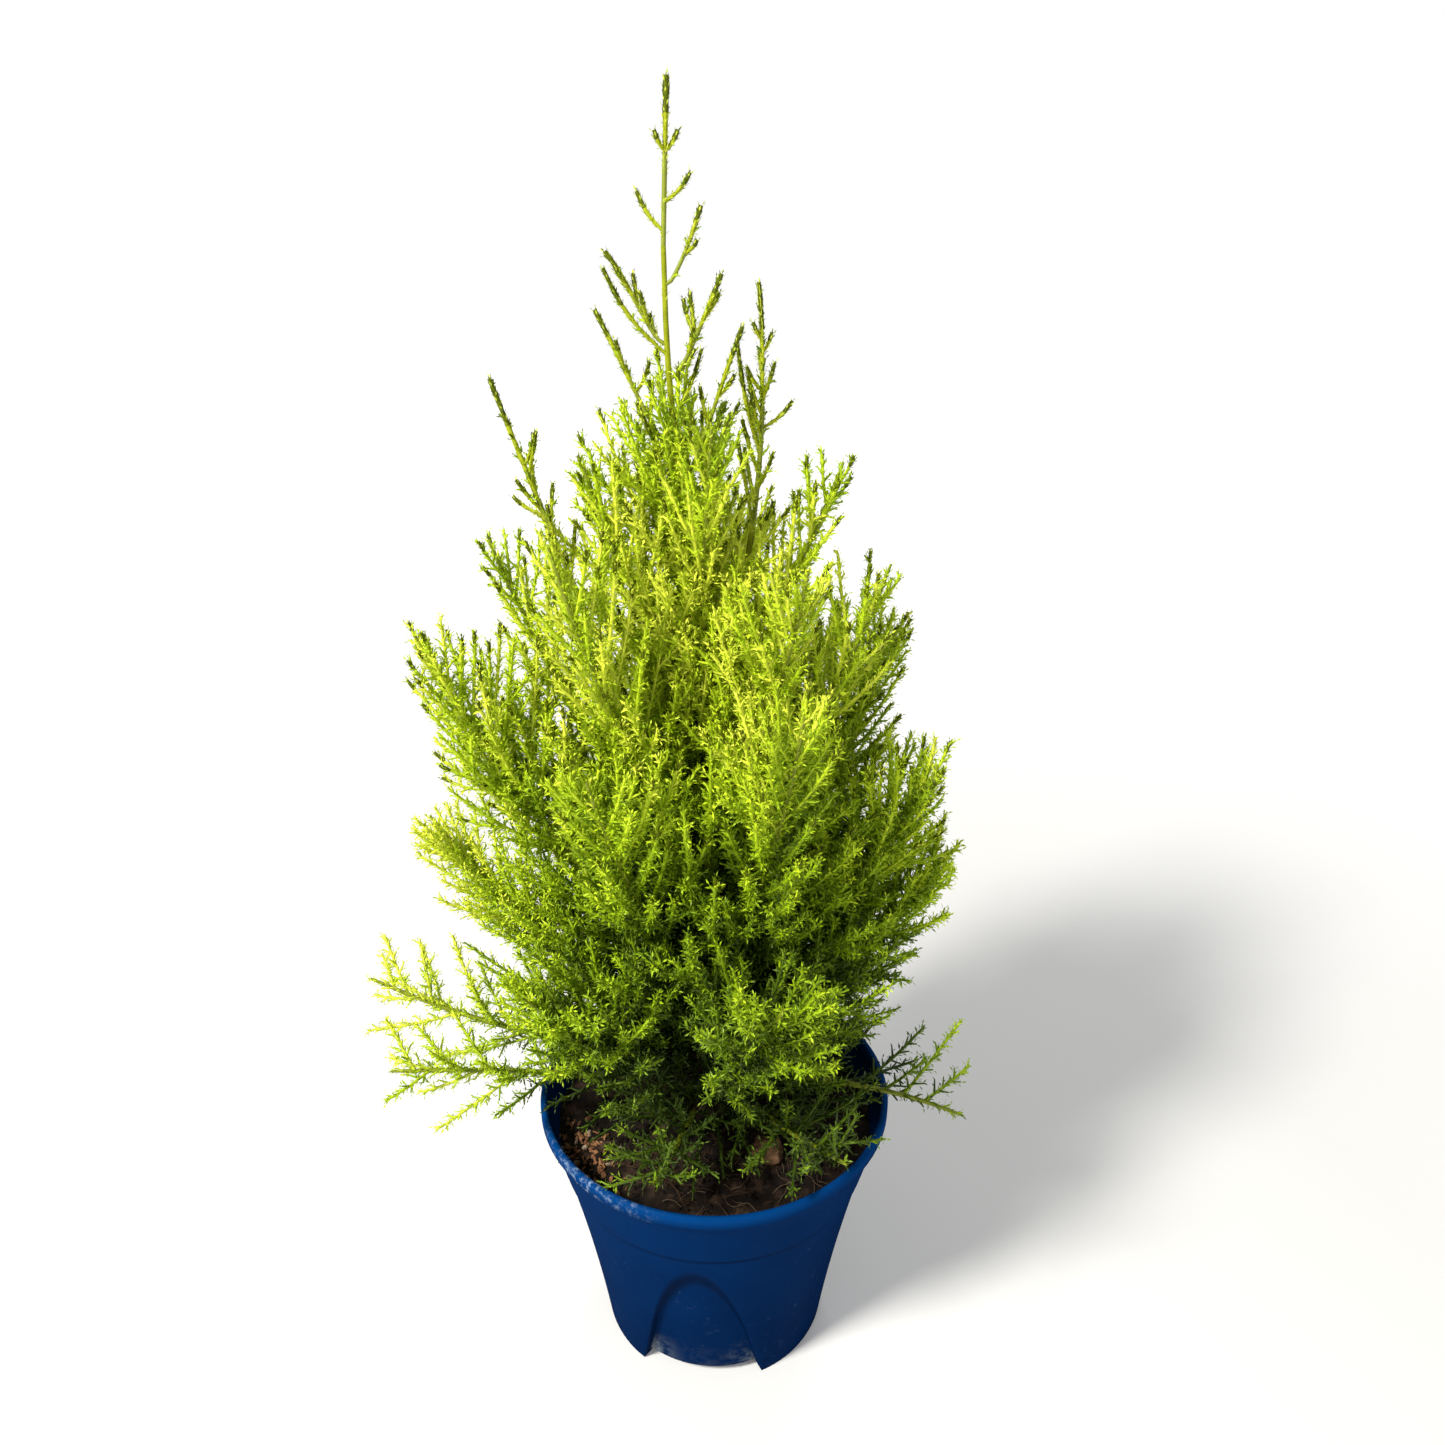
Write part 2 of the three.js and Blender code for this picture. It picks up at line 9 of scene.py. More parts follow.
import bmesh
import bpy
import numpy as np
from mathutils import Euler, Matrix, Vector, noise


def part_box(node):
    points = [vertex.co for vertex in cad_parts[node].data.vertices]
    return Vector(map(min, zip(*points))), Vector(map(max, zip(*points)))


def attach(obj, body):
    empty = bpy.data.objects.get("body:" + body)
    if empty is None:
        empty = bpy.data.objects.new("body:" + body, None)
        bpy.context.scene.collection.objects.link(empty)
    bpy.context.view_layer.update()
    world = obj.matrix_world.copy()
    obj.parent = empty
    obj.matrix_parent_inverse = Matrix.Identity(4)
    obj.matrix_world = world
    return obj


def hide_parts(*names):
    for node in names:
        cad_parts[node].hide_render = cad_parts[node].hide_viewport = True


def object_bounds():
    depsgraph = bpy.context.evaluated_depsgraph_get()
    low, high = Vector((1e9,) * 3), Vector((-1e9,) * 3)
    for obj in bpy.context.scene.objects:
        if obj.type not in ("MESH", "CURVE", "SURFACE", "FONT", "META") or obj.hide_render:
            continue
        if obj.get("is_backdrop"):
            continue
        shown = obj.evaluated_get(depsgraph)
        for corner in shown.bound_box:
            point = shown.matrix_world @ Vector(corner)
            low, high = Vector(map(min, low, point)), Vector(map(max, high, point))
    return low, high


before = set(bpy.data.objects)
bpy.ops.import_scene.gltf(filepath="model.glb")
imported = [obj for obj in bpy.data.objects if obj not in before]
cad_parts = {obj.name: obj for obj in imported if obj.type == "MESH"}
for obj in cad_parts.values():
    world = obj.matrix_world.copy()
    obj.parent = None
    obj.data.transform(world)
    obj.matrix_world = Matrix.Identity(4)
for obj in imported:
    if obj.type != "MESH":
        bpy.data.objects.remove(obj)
cad_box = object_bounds()

MM = 0.001
MERGE = 0.01 * MM
UP = np.array([0.0, 0.0, 1.0])
EAST = np.array([1.0, 0.0, 0.0])
FULL_TURN = 2 * math.pi
GOLDEN_ANGLE = math.radians(137.5)
POT_LOW, POT_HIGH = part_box("pot")
POT_AXIS = (POT_LOW + POT_HIGH) / 2

# Pot
POT_HEIGHT = POT_HIGH.z / MM
FOOT_RADIUS = 60.5
WALL_SLOPE = 0.13
WALL_FLARE = 0.00045
WALL = 2.2
COLLAR_FOOT = 106
COLLAR_STEP = 0.9
COLLAR_TOP = 131
COLLAR_TOP_RADIUS = 86.1
LIP_FOOT = 137
LIP_FOOT_RADIUS = 89
LIP_RADIUS = 90.6
LIP_ROUND = 1.7
LIP_STEPS = 9
FLOOR_UNDERSIDE = 5.5
FOOT_INNER_RADIUS = 54
INSIDE_FLOOR = 121
EDGE_ROUNDING = 0.55
ROUNDED_FROM = math.radians(24)
SHARP_FROM = math.radians(50)

# Arched recesses: the outline in the wall, and the smaller one round the sunk panel
ARCH_COUNT = 3
FIRST_ARCH = math.radians(-7)
ARCH_SPRING = 39
ARCH_DEPTH = 4.5
ARCH_OUTLINE = {"foot": 31.5, "foot_height": 0, "spring": 25, "top": 97}
ARCH_PANEL = {"foot": 27.5, "foot_height": FLOOR_UNDERSIDE, "spring": 21.3, "top": 77}
ARCH_SHOULDER = (0.83, 0.67)
ARCH_CROWN = 0.48
ARCH_ROWS = {"line": 10, "corner": 14, "all": 34}
ARCH_COLUMNS = {"wall": 10, "band": 3, "panel": 8}
SECTOR_HALF = math.radians(60)

# Wear on the pot: the scuff's place on the lip, its half width and strength, and where splashes dried
SCUFF_ANGLE = -0.75
SCUFF_HALF = 0.5
SCUFF_STRENGTH = 0.75
SPLASH_HEIGHTS = (6, 26)
SPLASH_ASIDE = (0.45, 0.9)
SPLASH_STRENGTH = (0.1, 0.8)

# Soil
SOIL_TOP = 127
SOIL_CROWN = 3
SOIL_RADIUS = 83.2
SOIL_BASE = 121.5
SOIL_SUNK = 1.1
SOIL_LUMP = 1.6
SOIL_GRIT = 1.1
SOIL_RINGS = 46
SOIL_COLUMNS = 132
SOIL_UNDERCUT = 0.985

# Litter on the soil: places are a centre, a spread and a share of the density or a count
WHOLE_BED = [((0, 0), SOIL_RADIUS, 1.0)]
CHIP_PLACES = [((-64, -38), 20, 1.0), ((-70, -20), 16, 0.8), ((-48, -58), 12, 0.3)]
ROOTLET_PLACES = [((-27, -42), 12, 60), ((-5, -55), 20, 20), ((0, 0), 76, 50)]
STRAW_PLACES = [((50, -46), 15, 22), ((20, -58), 16, 8), ((0, 0), 74, 20)]
FIBRE_RADIUS = (0.14, 0.28)
FIBRE_STEP = 1.6
ROOTLET_SEED = 41
STRAW_SEED = 43
PATCH_CELLS = 18
CLOD_PLACE = (27, -35)
CLOD_SIZE = (8.4, 7.6, 6.4)
CLOD_LUMP = 0.22
CLOD_GRIT = 0.05
CLOD_SHOWING = 0.45

# Shapes that are strewn: how each is stretched, and its seed
CRUMB_SHAPES = {"crumb": ((1, 0.8, 0.65), 5), "flake": ((1.3, 0.8, 0.4), 8)}

# What is strewn: piece, places, shape, count per square metre, smallest and largest, seed, and material
STREWN = [
    ("soil_crumbs", WHOLE_BED, "crumb", 80000, 1.2, 3.4, 4, "peat"),
    ("soil_lumps", WHOLE_BED, "crumb", 16000, 3.2, 6.6, 9, "peat"),
    ("bark_chips", CHIP_PLACES, "flake", 90000, 1.5, 4.6, 6, "bark_chips"),
    ("pale_chips", CHIP_PLACES, "flake", 14000, 1.8, 5.0, 12, "husk"),
]

# Trunk
TRUNK_TOP = 548
TRUNK_RADIUS = 5.2
TRUNK_TOP_RADIUS = 1
ROOT_FLARE = 3.5
ROOT_FLARE_HEIGHT = 6
TRUNK_FOOT = SOIL_TOP + SOIL_CROWN + 0.3
TRUNK_POINTS = [
    (-1, 0, TRUNK_FOOT),
    (-3, 3, 230),
    (-6, 1, 350),
    (-12, -1, 440),
    (-17.5, 0, 505),
    (-18.5, 0, TRUNK_TOP),
]
TRUNK_STEPS = 190
TRUNK_SIDES = 22
SPLINE_STEPS = 24
LEADER_TIP = (-16.3, 0, 605)

# Growth, each row: compass angle from X, foot height, reach from the pot's axis, tip height, slope at the tip
GROWTH = {
    "skirt": [
        (180, 156, 173, 210, 30),
        (193, 149, 160, 182, 8),
        (254, 151, 96, 168, 20),
        (305, 149, 104, 172, 18),
        (342, 155, 128, 158, -14),
        (40, 150, 116, 176, 20),
        (112, 153, 118, 192, 30),
    ],
    "low": [
        (172, 170, 141, 292, 55),
        (228, 166, 116, 262, 52),
        (284, 174, 116, 278, 60),
        (356, 169, 110, 288, 62),
        (48, 177, 108, 262, 58),
        (116, 180, 112, 284, 60),
    ],
    "middle": [
        (184, 212, 129, 394, 66),
        (242, 204, 100, 362, 68),
        (292, 216, 92, 388, 76),
        (342, 208, 102, 342, 68),
        (28, 220, 98, 390, 74),
        (100, 214, 98, 378, 70),
    ],
    "spire": [
        (186, 298, 88, 500, 72),
        (28, 334, 21, 535, 97),
    ],
    "upper": [
        (160, 262, 110, 424, 66),
        (224, 290, 84, 444, 74),
        (300, 296, 72, 436, 76),
        (357, 276, 76, 424, 72),
        (76, 304, 74, 440, 74),
    ],
    "top": [
        (196, 372, 54, 467, 72),
        (354, 360, 54, 467, 72),
        (270, 388, 30, 486, 78),
        (92, 384, 34, 482, 78),
    ],
    "leader": [
        (180, 470, 46, 525, 62),
        (338, 459, 13, 519, 68),
        (352, 499, 4, 538, 66),
        (182, 512, 41, 546, 52),
        (10, 534, -4, 562, 72),
    ],
}

# Shoots low in the pot that hang over the soil, in the same terms
HANGING = [
    (262, 146, 70, 138, -24),
    (275, 143, 56, 134, -34),
    (236, 145, 66, 137, -20),
    (312, 146, 78, 139, -20),
    (326, 143, 70, 135, -26),
    (292, 144, 60, 136, -18),
    (210, 145, 72, 138, -16),
    (20, 145, 74, 138, -20),
    (75, 145, 72, 138, -20),
    (140, 145, 72, 138, -20),
]

# Shoots that close gaps in front and at the lower left, in the same terms
GAP_SHOOTS = [
    (264, 196, 92, 298, 64),
    (271, 214, 90, 322, 68),
    (263, 232, 86, 348, 71),
    (270, 250, 78, 376, 74),
    (184, 160, 116, 226, 42),
    (192, 164, 119, 248, 48),
    (174, 166, 121, 266, 52),
]

# Share of a line at which its mass starts, and how a line leaves its foot and arrives at its tip
ENTRY = {"skirt": 0.3, "low": 0.3, "middle": 0.3, "spire": 0.5}
LEAVE_OUT = 0.3
LEAVE_UP = 0.2
ARRIVE = 0.42
LINE_STEPS = 40
FOOT_GAP = 0.35

# Boughs and the stems in masses: thickness, sides and steps, and the step at which a stem's light is read
BOUGH_RADIUS = 2.8
BOUGH_RADIUS_LOSS = 0.0031
BOUGH_TAPER = 0.35
BOUGH_SIDES = 10
BOUGH_STEPS = 22
SUNK = 1.5
STEM_STEPS = 18
STEM_TIP_RADIUS = 0.9
STEM_LIT_AT = 12
SCALY_STEM = {"bare": 10, "scaly": 6, "radius": 1.15, "pale": 0.7}
THICKEST = {"leader": 0.8, "spire": 1.2, "top": 1.3}
BLUNT = 0.5

# How each kind branches: lowest and highest are lengths of shoots, pitch is the gap between their twigs
Rule = namedtuple("Rule", "shoots lowest highest angle pull pitch twig needle lean gain")
RULE = {
    "skirt": Rule(34, 54, 24, 50, 0.15, 2.7, 9.0, 3.3, 60, 0.34),
    "low": Rule(50, 60, 26, 44, 0.3, 2.7, 9.0, 3.3, 58, 0.34),
    "middle": Rule(50, 62, 26, 40, 0.3, 2.7, 8.0, 3.1, 54, 0.3),
    "upper": Rule(42, 54, 24, 38, 0.3, 2.7, 7.0, 2.9, 50, 0.1),
    "spire": Rule(9, 22, 10, 36, 0.3, 3.4, 5, 2.7, 44, -0.4),
    "top": Rule(30, 38, 18, 36, 0.3, 2.7, 6.5, 2.8, 46, -0.1),
    "leader": Rule(4, 12, 8, 38, 0.3, 5.0, 4, 2.2, 46, -0.4),
    "tip": Rule(0, 14, 12, 40, 0.3, 5.0, 4, 2.2, 44, -0.4),
}
HANGING_RULE = Rule(3, 26, 14, 40, 0, 2.6, 5, 3.2, 58, 0.3)
CORE_RULE = Rule(0, 0, 0, 0, 0, 3.4, 9, 3.6, 60, 0.1)
SCALY = ("leader", "spire")
SCALY_RULES = [RULE[kind] for kind in SCALY]
FULLNESS = {"skirt_1": 0.46, "skirt_2": 0.46, "skirt_3": 0.45, "skirt_4": 0.5, "skirt_5": 0.25}

# How shoots find their place: the part of a stem that bears them, and the tries for each
LOWEST_TIP = 152
SHOOT_STRETCH = (0.02, 0.93)
SCALY_STRETCH = (0.02, 0.66)
LIFT_PER_PULL = 1.7
LENGTH_SPREAD = 0.16
TRIES = 7
INWARD_GAIN = 0.4
LONG_TRY = 1.3
REACH_MARGIN = 5
CROWN_SHARE = 0.96
RIM_CLEARANCE = 1.5
SOIL_CLEARANCE = 3.5
ANGLE_SPREAD = (0.9, 1.3)
SHOOT_BEND = {"steps": 6, "wander": 0.04}
LIGHT_SPREAD = 0.13

# Seeds, one start for each kind of growth
FIRST_SEED = 7
SEED_GAP = 101
SEEDS = {
    "trunk": 5000,
    "core": 6100,
    "core shoot": 6300,
    "fine twig": 7000,
    "gap shoot": 8000,
    "hanging": 9000,
    "hanging shoot": 9100,
}
FINE_NEEDLE_SEED = 7300

# Shoots of the trunk: from and to which height, how many, lengths low down and high up, and their angle
TRUNK_SHOOTS = [
    (148, 222, 56, 108, 74, 78),
    (200, 420, 72, 70, 40, 58),
    (400, 478, 20, 46, 24, 34),
    (200, 290, 30, 96, 80, 66),
]

# Shoots close round the trunk, darker partly for their own duller inner green and partly as painted shade, in
# the same terms
CORE_SHOOTS = [
    (150, 330, 130, 74, 46, 70),
    (160, 300, 60, 100, 66, 58),
    (330, 440, 36, 44, 28, 50),
]
CORE_BEND = {"steps": 5, "lift": 0.35, "wander": 0.12}
# Painted shade and duller inner growth: the core shoots take tones this much darker
CORE_LIGHT = -0.1

# Shoots on a bough of each kind, and the side shoots that a shoot of some length bears
BOUGH_SHOOTS = {"skirt": 10, "low": 18, "middle": 14}
BOUGH_STRETCH = (0.3, 1)
SIDE_SHOOTS = {"from": 62, "pitch": 16, "length": 30, "foot": 0.12, "stretch": 0.62}
SIDE_BEND = {"steps": 4, "lift": 0.3, "wander": 0.05}

# Fine twigs of the leader and the two spires: the stem, the height they leave it, and the way to their tip
FINE_TWIGS = [
    ("trunk", 580, (-4, -2, 7)),
    ("trunk", 580, (5, 2, 7.5)),
    ("trunk", 563, (10, -3, 10)),
    ("trunk", 553, (-10, 2, 14)),
    ("trunk", 508, (-24, -5, 32)),
    ("trunk", 484, (12, 7, 26)),
    ("trunk", 462, (-14, -8, 24)),
    ("leader_5", 545, (5, -3, 5)),
    ("leader_3", 515, (-5, 4, 14)),
    ("leader_1", 494, (6, -4, 12)),
    ("spire_2", 513, (-4, -2, 7)),
    ("spire_2", 508, (4, 2, 8)),
    ("spire_2", 493, (-7, -3, 10)),
    ("spire_2", 478, (13, 3, 11)),
    ("spire_2", 468, (-10, -2, 44)),
    ("spire_1", 466, (5, -2, 13)),
    ("spire_1", 445, (-13, 2, 8)),
]
LONG_FINE_TWIG = 13
FINE_TWIG_STEPS = 9
LEADER_STEPS = {"all": 15, "bare": 9, "scaly": 7}
LEADER_WHORLS = [(572, 578), (560, 566), (551, 553), (528, 531)]
BARE_TRUNK_TOP = 430

# A light that no place has, for the tones of scaly twigs
NEVER = 9

# Foliage tones: colour, the painted light from which each is chosen, and the millimetres from needle to
# needle; the leafy tones are lighter and darker copies of one green that paint sunlight and shade into the
# crown
TONES = {
    "deep": ((0.034, 0.064, 0.001), 0.0, 2.7),
    "shade": ((0.082, 0.143, 0.002), 0.2, 1.65),
    "green": ((0.176, 0.284, 0.003), 0.34, 1.0),
    "lime": ((0.326, 0.468, 0.006), 0.49, 0.86),
    "bright": ((0.518, 0.662, 0.018), 0.66, 0.8),
    "gold": ((0.716, 0.788, 0.060), 0.86, 0.85),
    "olive": ((0.345, 0.395, 0.012), NEVER, 0.75),
    "tip": ((0.092, 0.122, 0.002), NEVER, 0.58),
    "speck": ((0.620, 0.690, 0.070), NEVER, 0.75),
}
LEAFY_SHEEN = 0.3
SCALY_SHEEN = 0.1

# Twigs along a shoot: angles at its foot and tip, lengths, thickness, and how far their light varies
TWIG_ANGLES = (58, 36)
TWIG_ANGLE_SPREAD = (0.85, 1.15)
TWIG_LIFT = 0.08
TWIG_SWELL = 0.4
TWIG_LOSS = 0.6
TWIG_LENGTH_SPREAD = (0.65, 1.15)
SHORTEST_TWIG = 2.4
TWIG_RADII = [0.8, 0.4]
TWIG_LIGHT_SPREAD = 0.06

# Shoots: thickness at foot and tip, and the shares of the rule's needle and lean from foot to tip
SHOOT_RADIUS = 0.9
THIN_SHOOT_RADIUS = 0.8
SHOOT_TIP_RADIUS = 0.8
SHOOT_NEEDLES = (0.9, 0.8)
SHOOT_LEANS = (0.9, 0.62)
STEM_GAIN = 0.12

# Dark scaly ends of shoots: the height they start at, their length, and their four points
DARK_TIPS_FROM = 300
DARK_TIP = 6
DARK_TIP_RADII = [0.7, 1.0, 1.0, 0.7]
DARK_TIP_NEEDLES = [1.9, 1.9, 1.9, 1.9]
DARK_TIP_LEANS = [34, 30, 26, 22]

# Scaly twigs: needle length by tone, leans from foot to tip, and how their thickness goes up and down
SCALY_NEEDLES = {"olive": 1.8, "tip": 1.7, "speck": 2.3}
SCALY_LEANS = (40, 24)
SCALY_FULL_FROM = 0.8
SCALY_SWELLS = (1.1, 0.88)
SCALY_CORE = 0.75

# Radius of the crown by height
CROWN = (
    (130, 112),
    (200, 120),
    (300, 108),
    (350, 102),
    (400, 90),
    (440, 72),
    (480, 48),
    (520, 30),
    (605, 12),
)

# Painted light in the crown's tones: where it rises, how much each effect weighs, and where the tones go
# darker under the crown, as painted shade, and over it
LIGHT_FOOT = 160
LIGHT_RISE = 220
PAINTED_LIGHT = {"plain": 0.5, "high": 0.205, "inside": 0.6, "under": 0.27, "over": 0.22, "rim": 0.58, "behind": 0.17}
SHADE_UNDER = {"below": 168, "depth": 25, "within": 118, "width": 20}
OVER = {"from": 445, "height": 45}

# Needles: the most in a piece, how deep their roots sit, and the spread of their lean and length
NEEDLE_PIECE_LIMIT = 85000
ROOT_DEPTH = 0.8
NEEDLE_HALF = 0.15
NEEDLE_KEEL = 0.07
NEEDLE_WIDEST = 0.5
LEAN_SPREAD = (0.72, 1.22)
LENGTH_OF_NEEDLES = (0.75, 1.15)

# Colours of the pot
BLUE = [(0.0, (0.0002, 0.0105, 0.052)), (1.0, (0.0004, 0.016, 0.074))]
# Painted light: the upper wall paler as light falls from above, and the lip paler still, partly sun-faded and
# partly painted light on its upward face
UPPER_BLUE = (0.001, 0.027, 0.118)
LIP_BLUE = (0.001, 0.039, 0.165)
# Painted shade, for the arches' reveals and a thin line under the collar
SHADED_BLUE = (0.001, 0.004, 0.016)
DUST = (0.17, 0.25, 0.36)
SCUFF = (0.34, 0.46, 0.60)
SPLASH = (0.20, 0.24, 0.26)

# Heights in metres between which a colour of the pot comes in
UPPER_BAND = (0.02, 0.132)
LIP_BAND = (0.1385, 0.1428)
# Painted shadow: a thin dark line at and just under the collar's step, between these heights
COLLAR_SHADOW_FROM_BELOW = (0.1035, 0.1059)
COLLAR_SHADOW_FROM_ABOVE = (0.1072, 0.1062)

# Colours of wood and earth
OLD_BARK = [(0.0, (0.045, 0.026, 0.014)), (0.5, (0.095, 0.06, 0.032)), (1.0, (0.17, 0.115, 0.065))]
YOUNG_BARK = [(0.0, (0.16, 0.19, 0.003)), (1.0, (0.34, 0.38, 0.008))]
YOUNG_BARK_BAND = (0.33, 0.45)
YOUNG_STEM = (0.24, 0.29, 0.006)
EARTH = {
    "peat": [(0.0, (0.003, 0.002, 0.0015)), (0.55, (0.014, 0.0085, 0.0055)), (1.0, (0.075, 0.044, 0.028))],
    "bark_chips": [(0.0, (0.12, 0.045, 0.018)), (1.0, (0.50, 0.25, 0.12))],
    "tan_clod": [(0.0, (0.08, 0.041, 0.019)), (1.0, (0.30, 0.165, 0.085))],
    "straw": [(0.0, (0.07, 0.045, 0.027)), (1.0, (0.20, 0.14, 0.09))],
    "husk": [(0.0, (0.30, 0.22, 0.14)), (1.0, (0.62, 0.50, 0.36))],
    "rootlet": [(0.0, (0.035, 0.018, 0.009)), (1.0, (0.13, 0.075, 0.04))],
}
EARTH_ROUGHNESS = {"straw": 0.8, "rootlet": 0.85}
DULL = 0.95

# Studio, in metres: a round floor that glows more further out, three lamps and a white world
FLOOR_RADIUS = 6.0
FLOOR_RINGS = 24
FLOOR_COLUMNS = 96
FLOOR_TINT = [(0.0, (0.71, 0.71, 0.705)), (1.0, (0.75, 0.75, 0.745))]
# The floor glows faintly even by the pot, a painted light that lightens the shadows cast on it, and fully far
# out
FLOOR_GLOW = [(0.0, (0.13, 0.13, 0.13)), (1.0, (1, 1, 1))]
GLOW_BAND = (0.45, 2.2)
GLOW_STRENGTH = 0.9
LAMP_AIM = 0.28
LAMPS = [
    ("key", (-1.0, -0.9, 1.55), 0.4, 56, (1.0, 0.97, 0.9)),
    ("fill", (1.3, -1.4, 0.9), 1.6, 5, (0.93, 0.96, 1.0)),
    ("back", (0.5, 1.2, 1.5), 1.0, 8, (1.0, 1.0, 0.98)),
]
WHITE = (1.0, 1.0, 1.0, 1)
WORLD_LIGHT = 0.3

# Camera, as the photograph was taken: its focal length in pixels of the photograph's width
FOCAL_PIXELS = 1085
PHOTO_PIXELS = 1445
SENSOR_WIDTH = 36
CAMERA_PLACE = (4.253, -455.39, 538.41)
CAMERA_DOWN = 22.526

Strand = namedtuple("Strand", "points radii tone needle lean")
Growth = namedtuple("Growth", "name kind line radius side out start seed reach far")


def unit(vector):
    return vector / np.linalg.norm(vector)


def blend(low, high, share):
    return low + (high - low) * share


def faded(first, last, count):
    """Values that go evenly from the first to the last."""
    return [blend(first, last, i / (count - 1)) for i in range(count)]


def turned_round(vector, axis, angle):
    """A vector turned round a unit axis."""
    along = axis * np.dot(axis, vector)
    side = vector - along
    return along + side * math.cos(angle) + np.cross(axis, vector) * math.sin(angle)


def across(direction, hint):
    """The part of a hint that is square to a direction."""
    return unit(hint - direction * np.dot(hint, direction))


def seed_of(kind, number):
    return SEEDS[kind] + number * SEED_GAP


def draws(seed):
    """Seeded draws, by the same steps as in the frame's source."""
    state = [seed]

    def draw(low=0.0, high=1.0):
        state[0] = (state[0] * 1664525 + 1013904223) % 4294967296
        return low + (high - low) * state[0] / 4294967296

    return draw


class Line:
    """A line through points, read by share of its length."""

    def __init__(self, points):
        self.points = np.array(points, float)
        steps = np.linalg.norm(np.diff(self.points, axis=0), axis=1)
        self.sums = np.concatenate([[0.0], np.cumsum(steps)])
        self.length = self.sums[-1]

    def at(self, share):
        reach = share * self.length
        return np.array([np.interp(reach, self.sums, self.points[:, i]) for i in range(3)])

    def run(self, low, high, count):
        """Points spaced evenly from one share to another."""
        return [self.at(share) for share in np.linspace(low, high, count)]

    def way(self, share, step=0.02):
        return unit(self.at(min(share + step, 1)) - self.at(max(share - step, 0)))


# Meshes
def placed(points):
    """Millimetres from the pot's axis to metres in the frame."""
    return np.asarray(points, float) * MM + np.array([POT_AXIS.x, POT_AXIS.y, 0.0])


def from_axis(place):
    """Metres in the frame to millimetres from the pot's axis."""
    return (np.array(place) - np.array([POT_AXIS.x, POT_AXIS.y, 0.0])) / MM


def new_object(name, data):
    made = bpy.data.objects.new(name, data)
    bpy.context.scene.collection.objects.link(made)
    return made


def mesh_object(name, vertices, faces, material):
    mesh = bpy.data.meshes.new(name)
    mesh.from_pydata([tuple(v) for v in vertices], [], faces)
    mesh.validate()
    mesh.materials.append(material)
    mesh.shade_smooth()
    return new_object(name, mesh)


def applied(piece):
    """The piece with its modifiers made part of its mesh."""
    graph = bpy.context.evaluated_depsgraph_get()
    mesh = bpy.data.meshes.new_from_object(piece.evaluated_get(graph))
    piece.modifiers.clear()
    piece.data = mesh
    return piece


def cleaned(piece):
    """Doubles merged and faces turned outwards."""
    work = bmesh.new()
    work.from_mesh(piece.data)
    bmesh.ops.remove_doubles(work, verts=work.verts, dist=MERGE)
    bmesh.ops.recalc_face_normals(work, faces=work.faces)
    work.to_mesh(piece.data)
    work.free()
    return piece


def ball_mesh(name, subdivisions, radius, shape):
    """A ball of triangles whose points a function has moved."""
    work = bmesh.new()
    bmesh.ops.create_icosphere(work, subdivisions=subdivisions, radius=radius)
    for vertex in work.verts:
        shape(vertex)
    mesh = bpy.data.meshes.new(name)
    work.to_mesh(mesh)
    work.free()
    return mesh


def grid_faces(rows, columns, start=0, closed=False):
    """Quads of a grid of points that runs row by row."""
    faces = []
    for r in range(rows - 1):
        for c in range(columns if closed else columns - 1):
            here = start + r * columns + c
            beside = start + r * columns + (c + 1) % columns
            faces.append((here, beside, beside + columns, here + columns))
    return faces


def disc_points(radius, rings, columns, height):
    """Rings of points from the inmost out, each at the height of its place."""
    points = []
    for ring in range(1, rings + 1):
        far = radius * ring / rings
        for column in range(columns):
            angle = column / columns * FULL_TURN
            x, y = far * math.cos(angle), far * math.sin(angle)
            points.append((x, y, height(x, y)))
    return points


def join(vertices, faces, more, quads):
    """Adds a part's points and faces to those of a piece."""
    start = len(vertices)
    vertices.extend(more)
    faces.extend(tuple(start + corner for corner in quad) for quad in quads)


def tube(points, radii, sides, relief):
    """Rings round a line of points and the faces between them, with both ends closed."""
    line = Line(points)
    count = len(points)
    vertices = []
    side = across(line.way(0), EAST if abs(line.way(0)[2]) > 0.5 else UP)
    for i, point in enumerate(line.points):
        way = line.way(line.sums[i] / line.length)
        side = across(way, side)
        other = np.cross(way, side)
        for s in range(sides):
            angle = s / sides * FULL_TURN
            out = side * math.cos(angle) + other * math.sin(angle)
            radius = radii[i] + relief(angle, line.sums[i], radii[i])
            vertices.append(point + out * radius)
    faces = grid_faces(count, sides, closed=True)
    faces.append(tuple(reversed(range(sides))))
    faces.append(tuple(range((count - 1) * sides, count * sides)))
    return vertices, faces


# Nodes
def feed(tree, socket, value):
    """Links a socket where the value is another socket, and else sets it."""
    if isinstance(value, bpy.types.NodeSocket):
        tree.links.new(value, socket)
    else:
        socket.default_value = value


def add_node(tree, kind, inputs=(), out=0, **settings):
    """One output of a new node whose inputs, by name or number, are set or linked."""
    node = tree.nodes.new(kind)
    for name, value in settings.items():
        setattr(node, name, value)
    for key, value in dict(inputs).items():
        feed(tree, node.inputs[key], value)
    return node.outputs[out]


def math_node(tree, operation, *values):
    return add_node(tree, "ShaderNodeMath", enumerate(values), operation=operation)


def times(tree, value, share):
    return math_node(tree, "MULTIPLY", value, share)


def node_group(name, kind, inputs, outputs):
    """A group with named inputs and outputs, what comes in, and the sockets that take what goes out."""
    group = bpy.data.node_groups.new(name, kind)
    for label, socket_kind, value in inputs:
        socket = group.interface.new_socket(label, in_out="INPUT", socket_type="NodeSocket" + socket_kind)
        if value is not None:
            socket.default_value = value
    for label, socket_kind in outputs:
        group.interface.new_socket(label, in_out="OUTPUT", socket_type="NodeSocket" + socket_kind)
    return group, group.nodes.new("NodeGroupInput").outputs, group.nodes.new("NodeGroupOutput").inputs


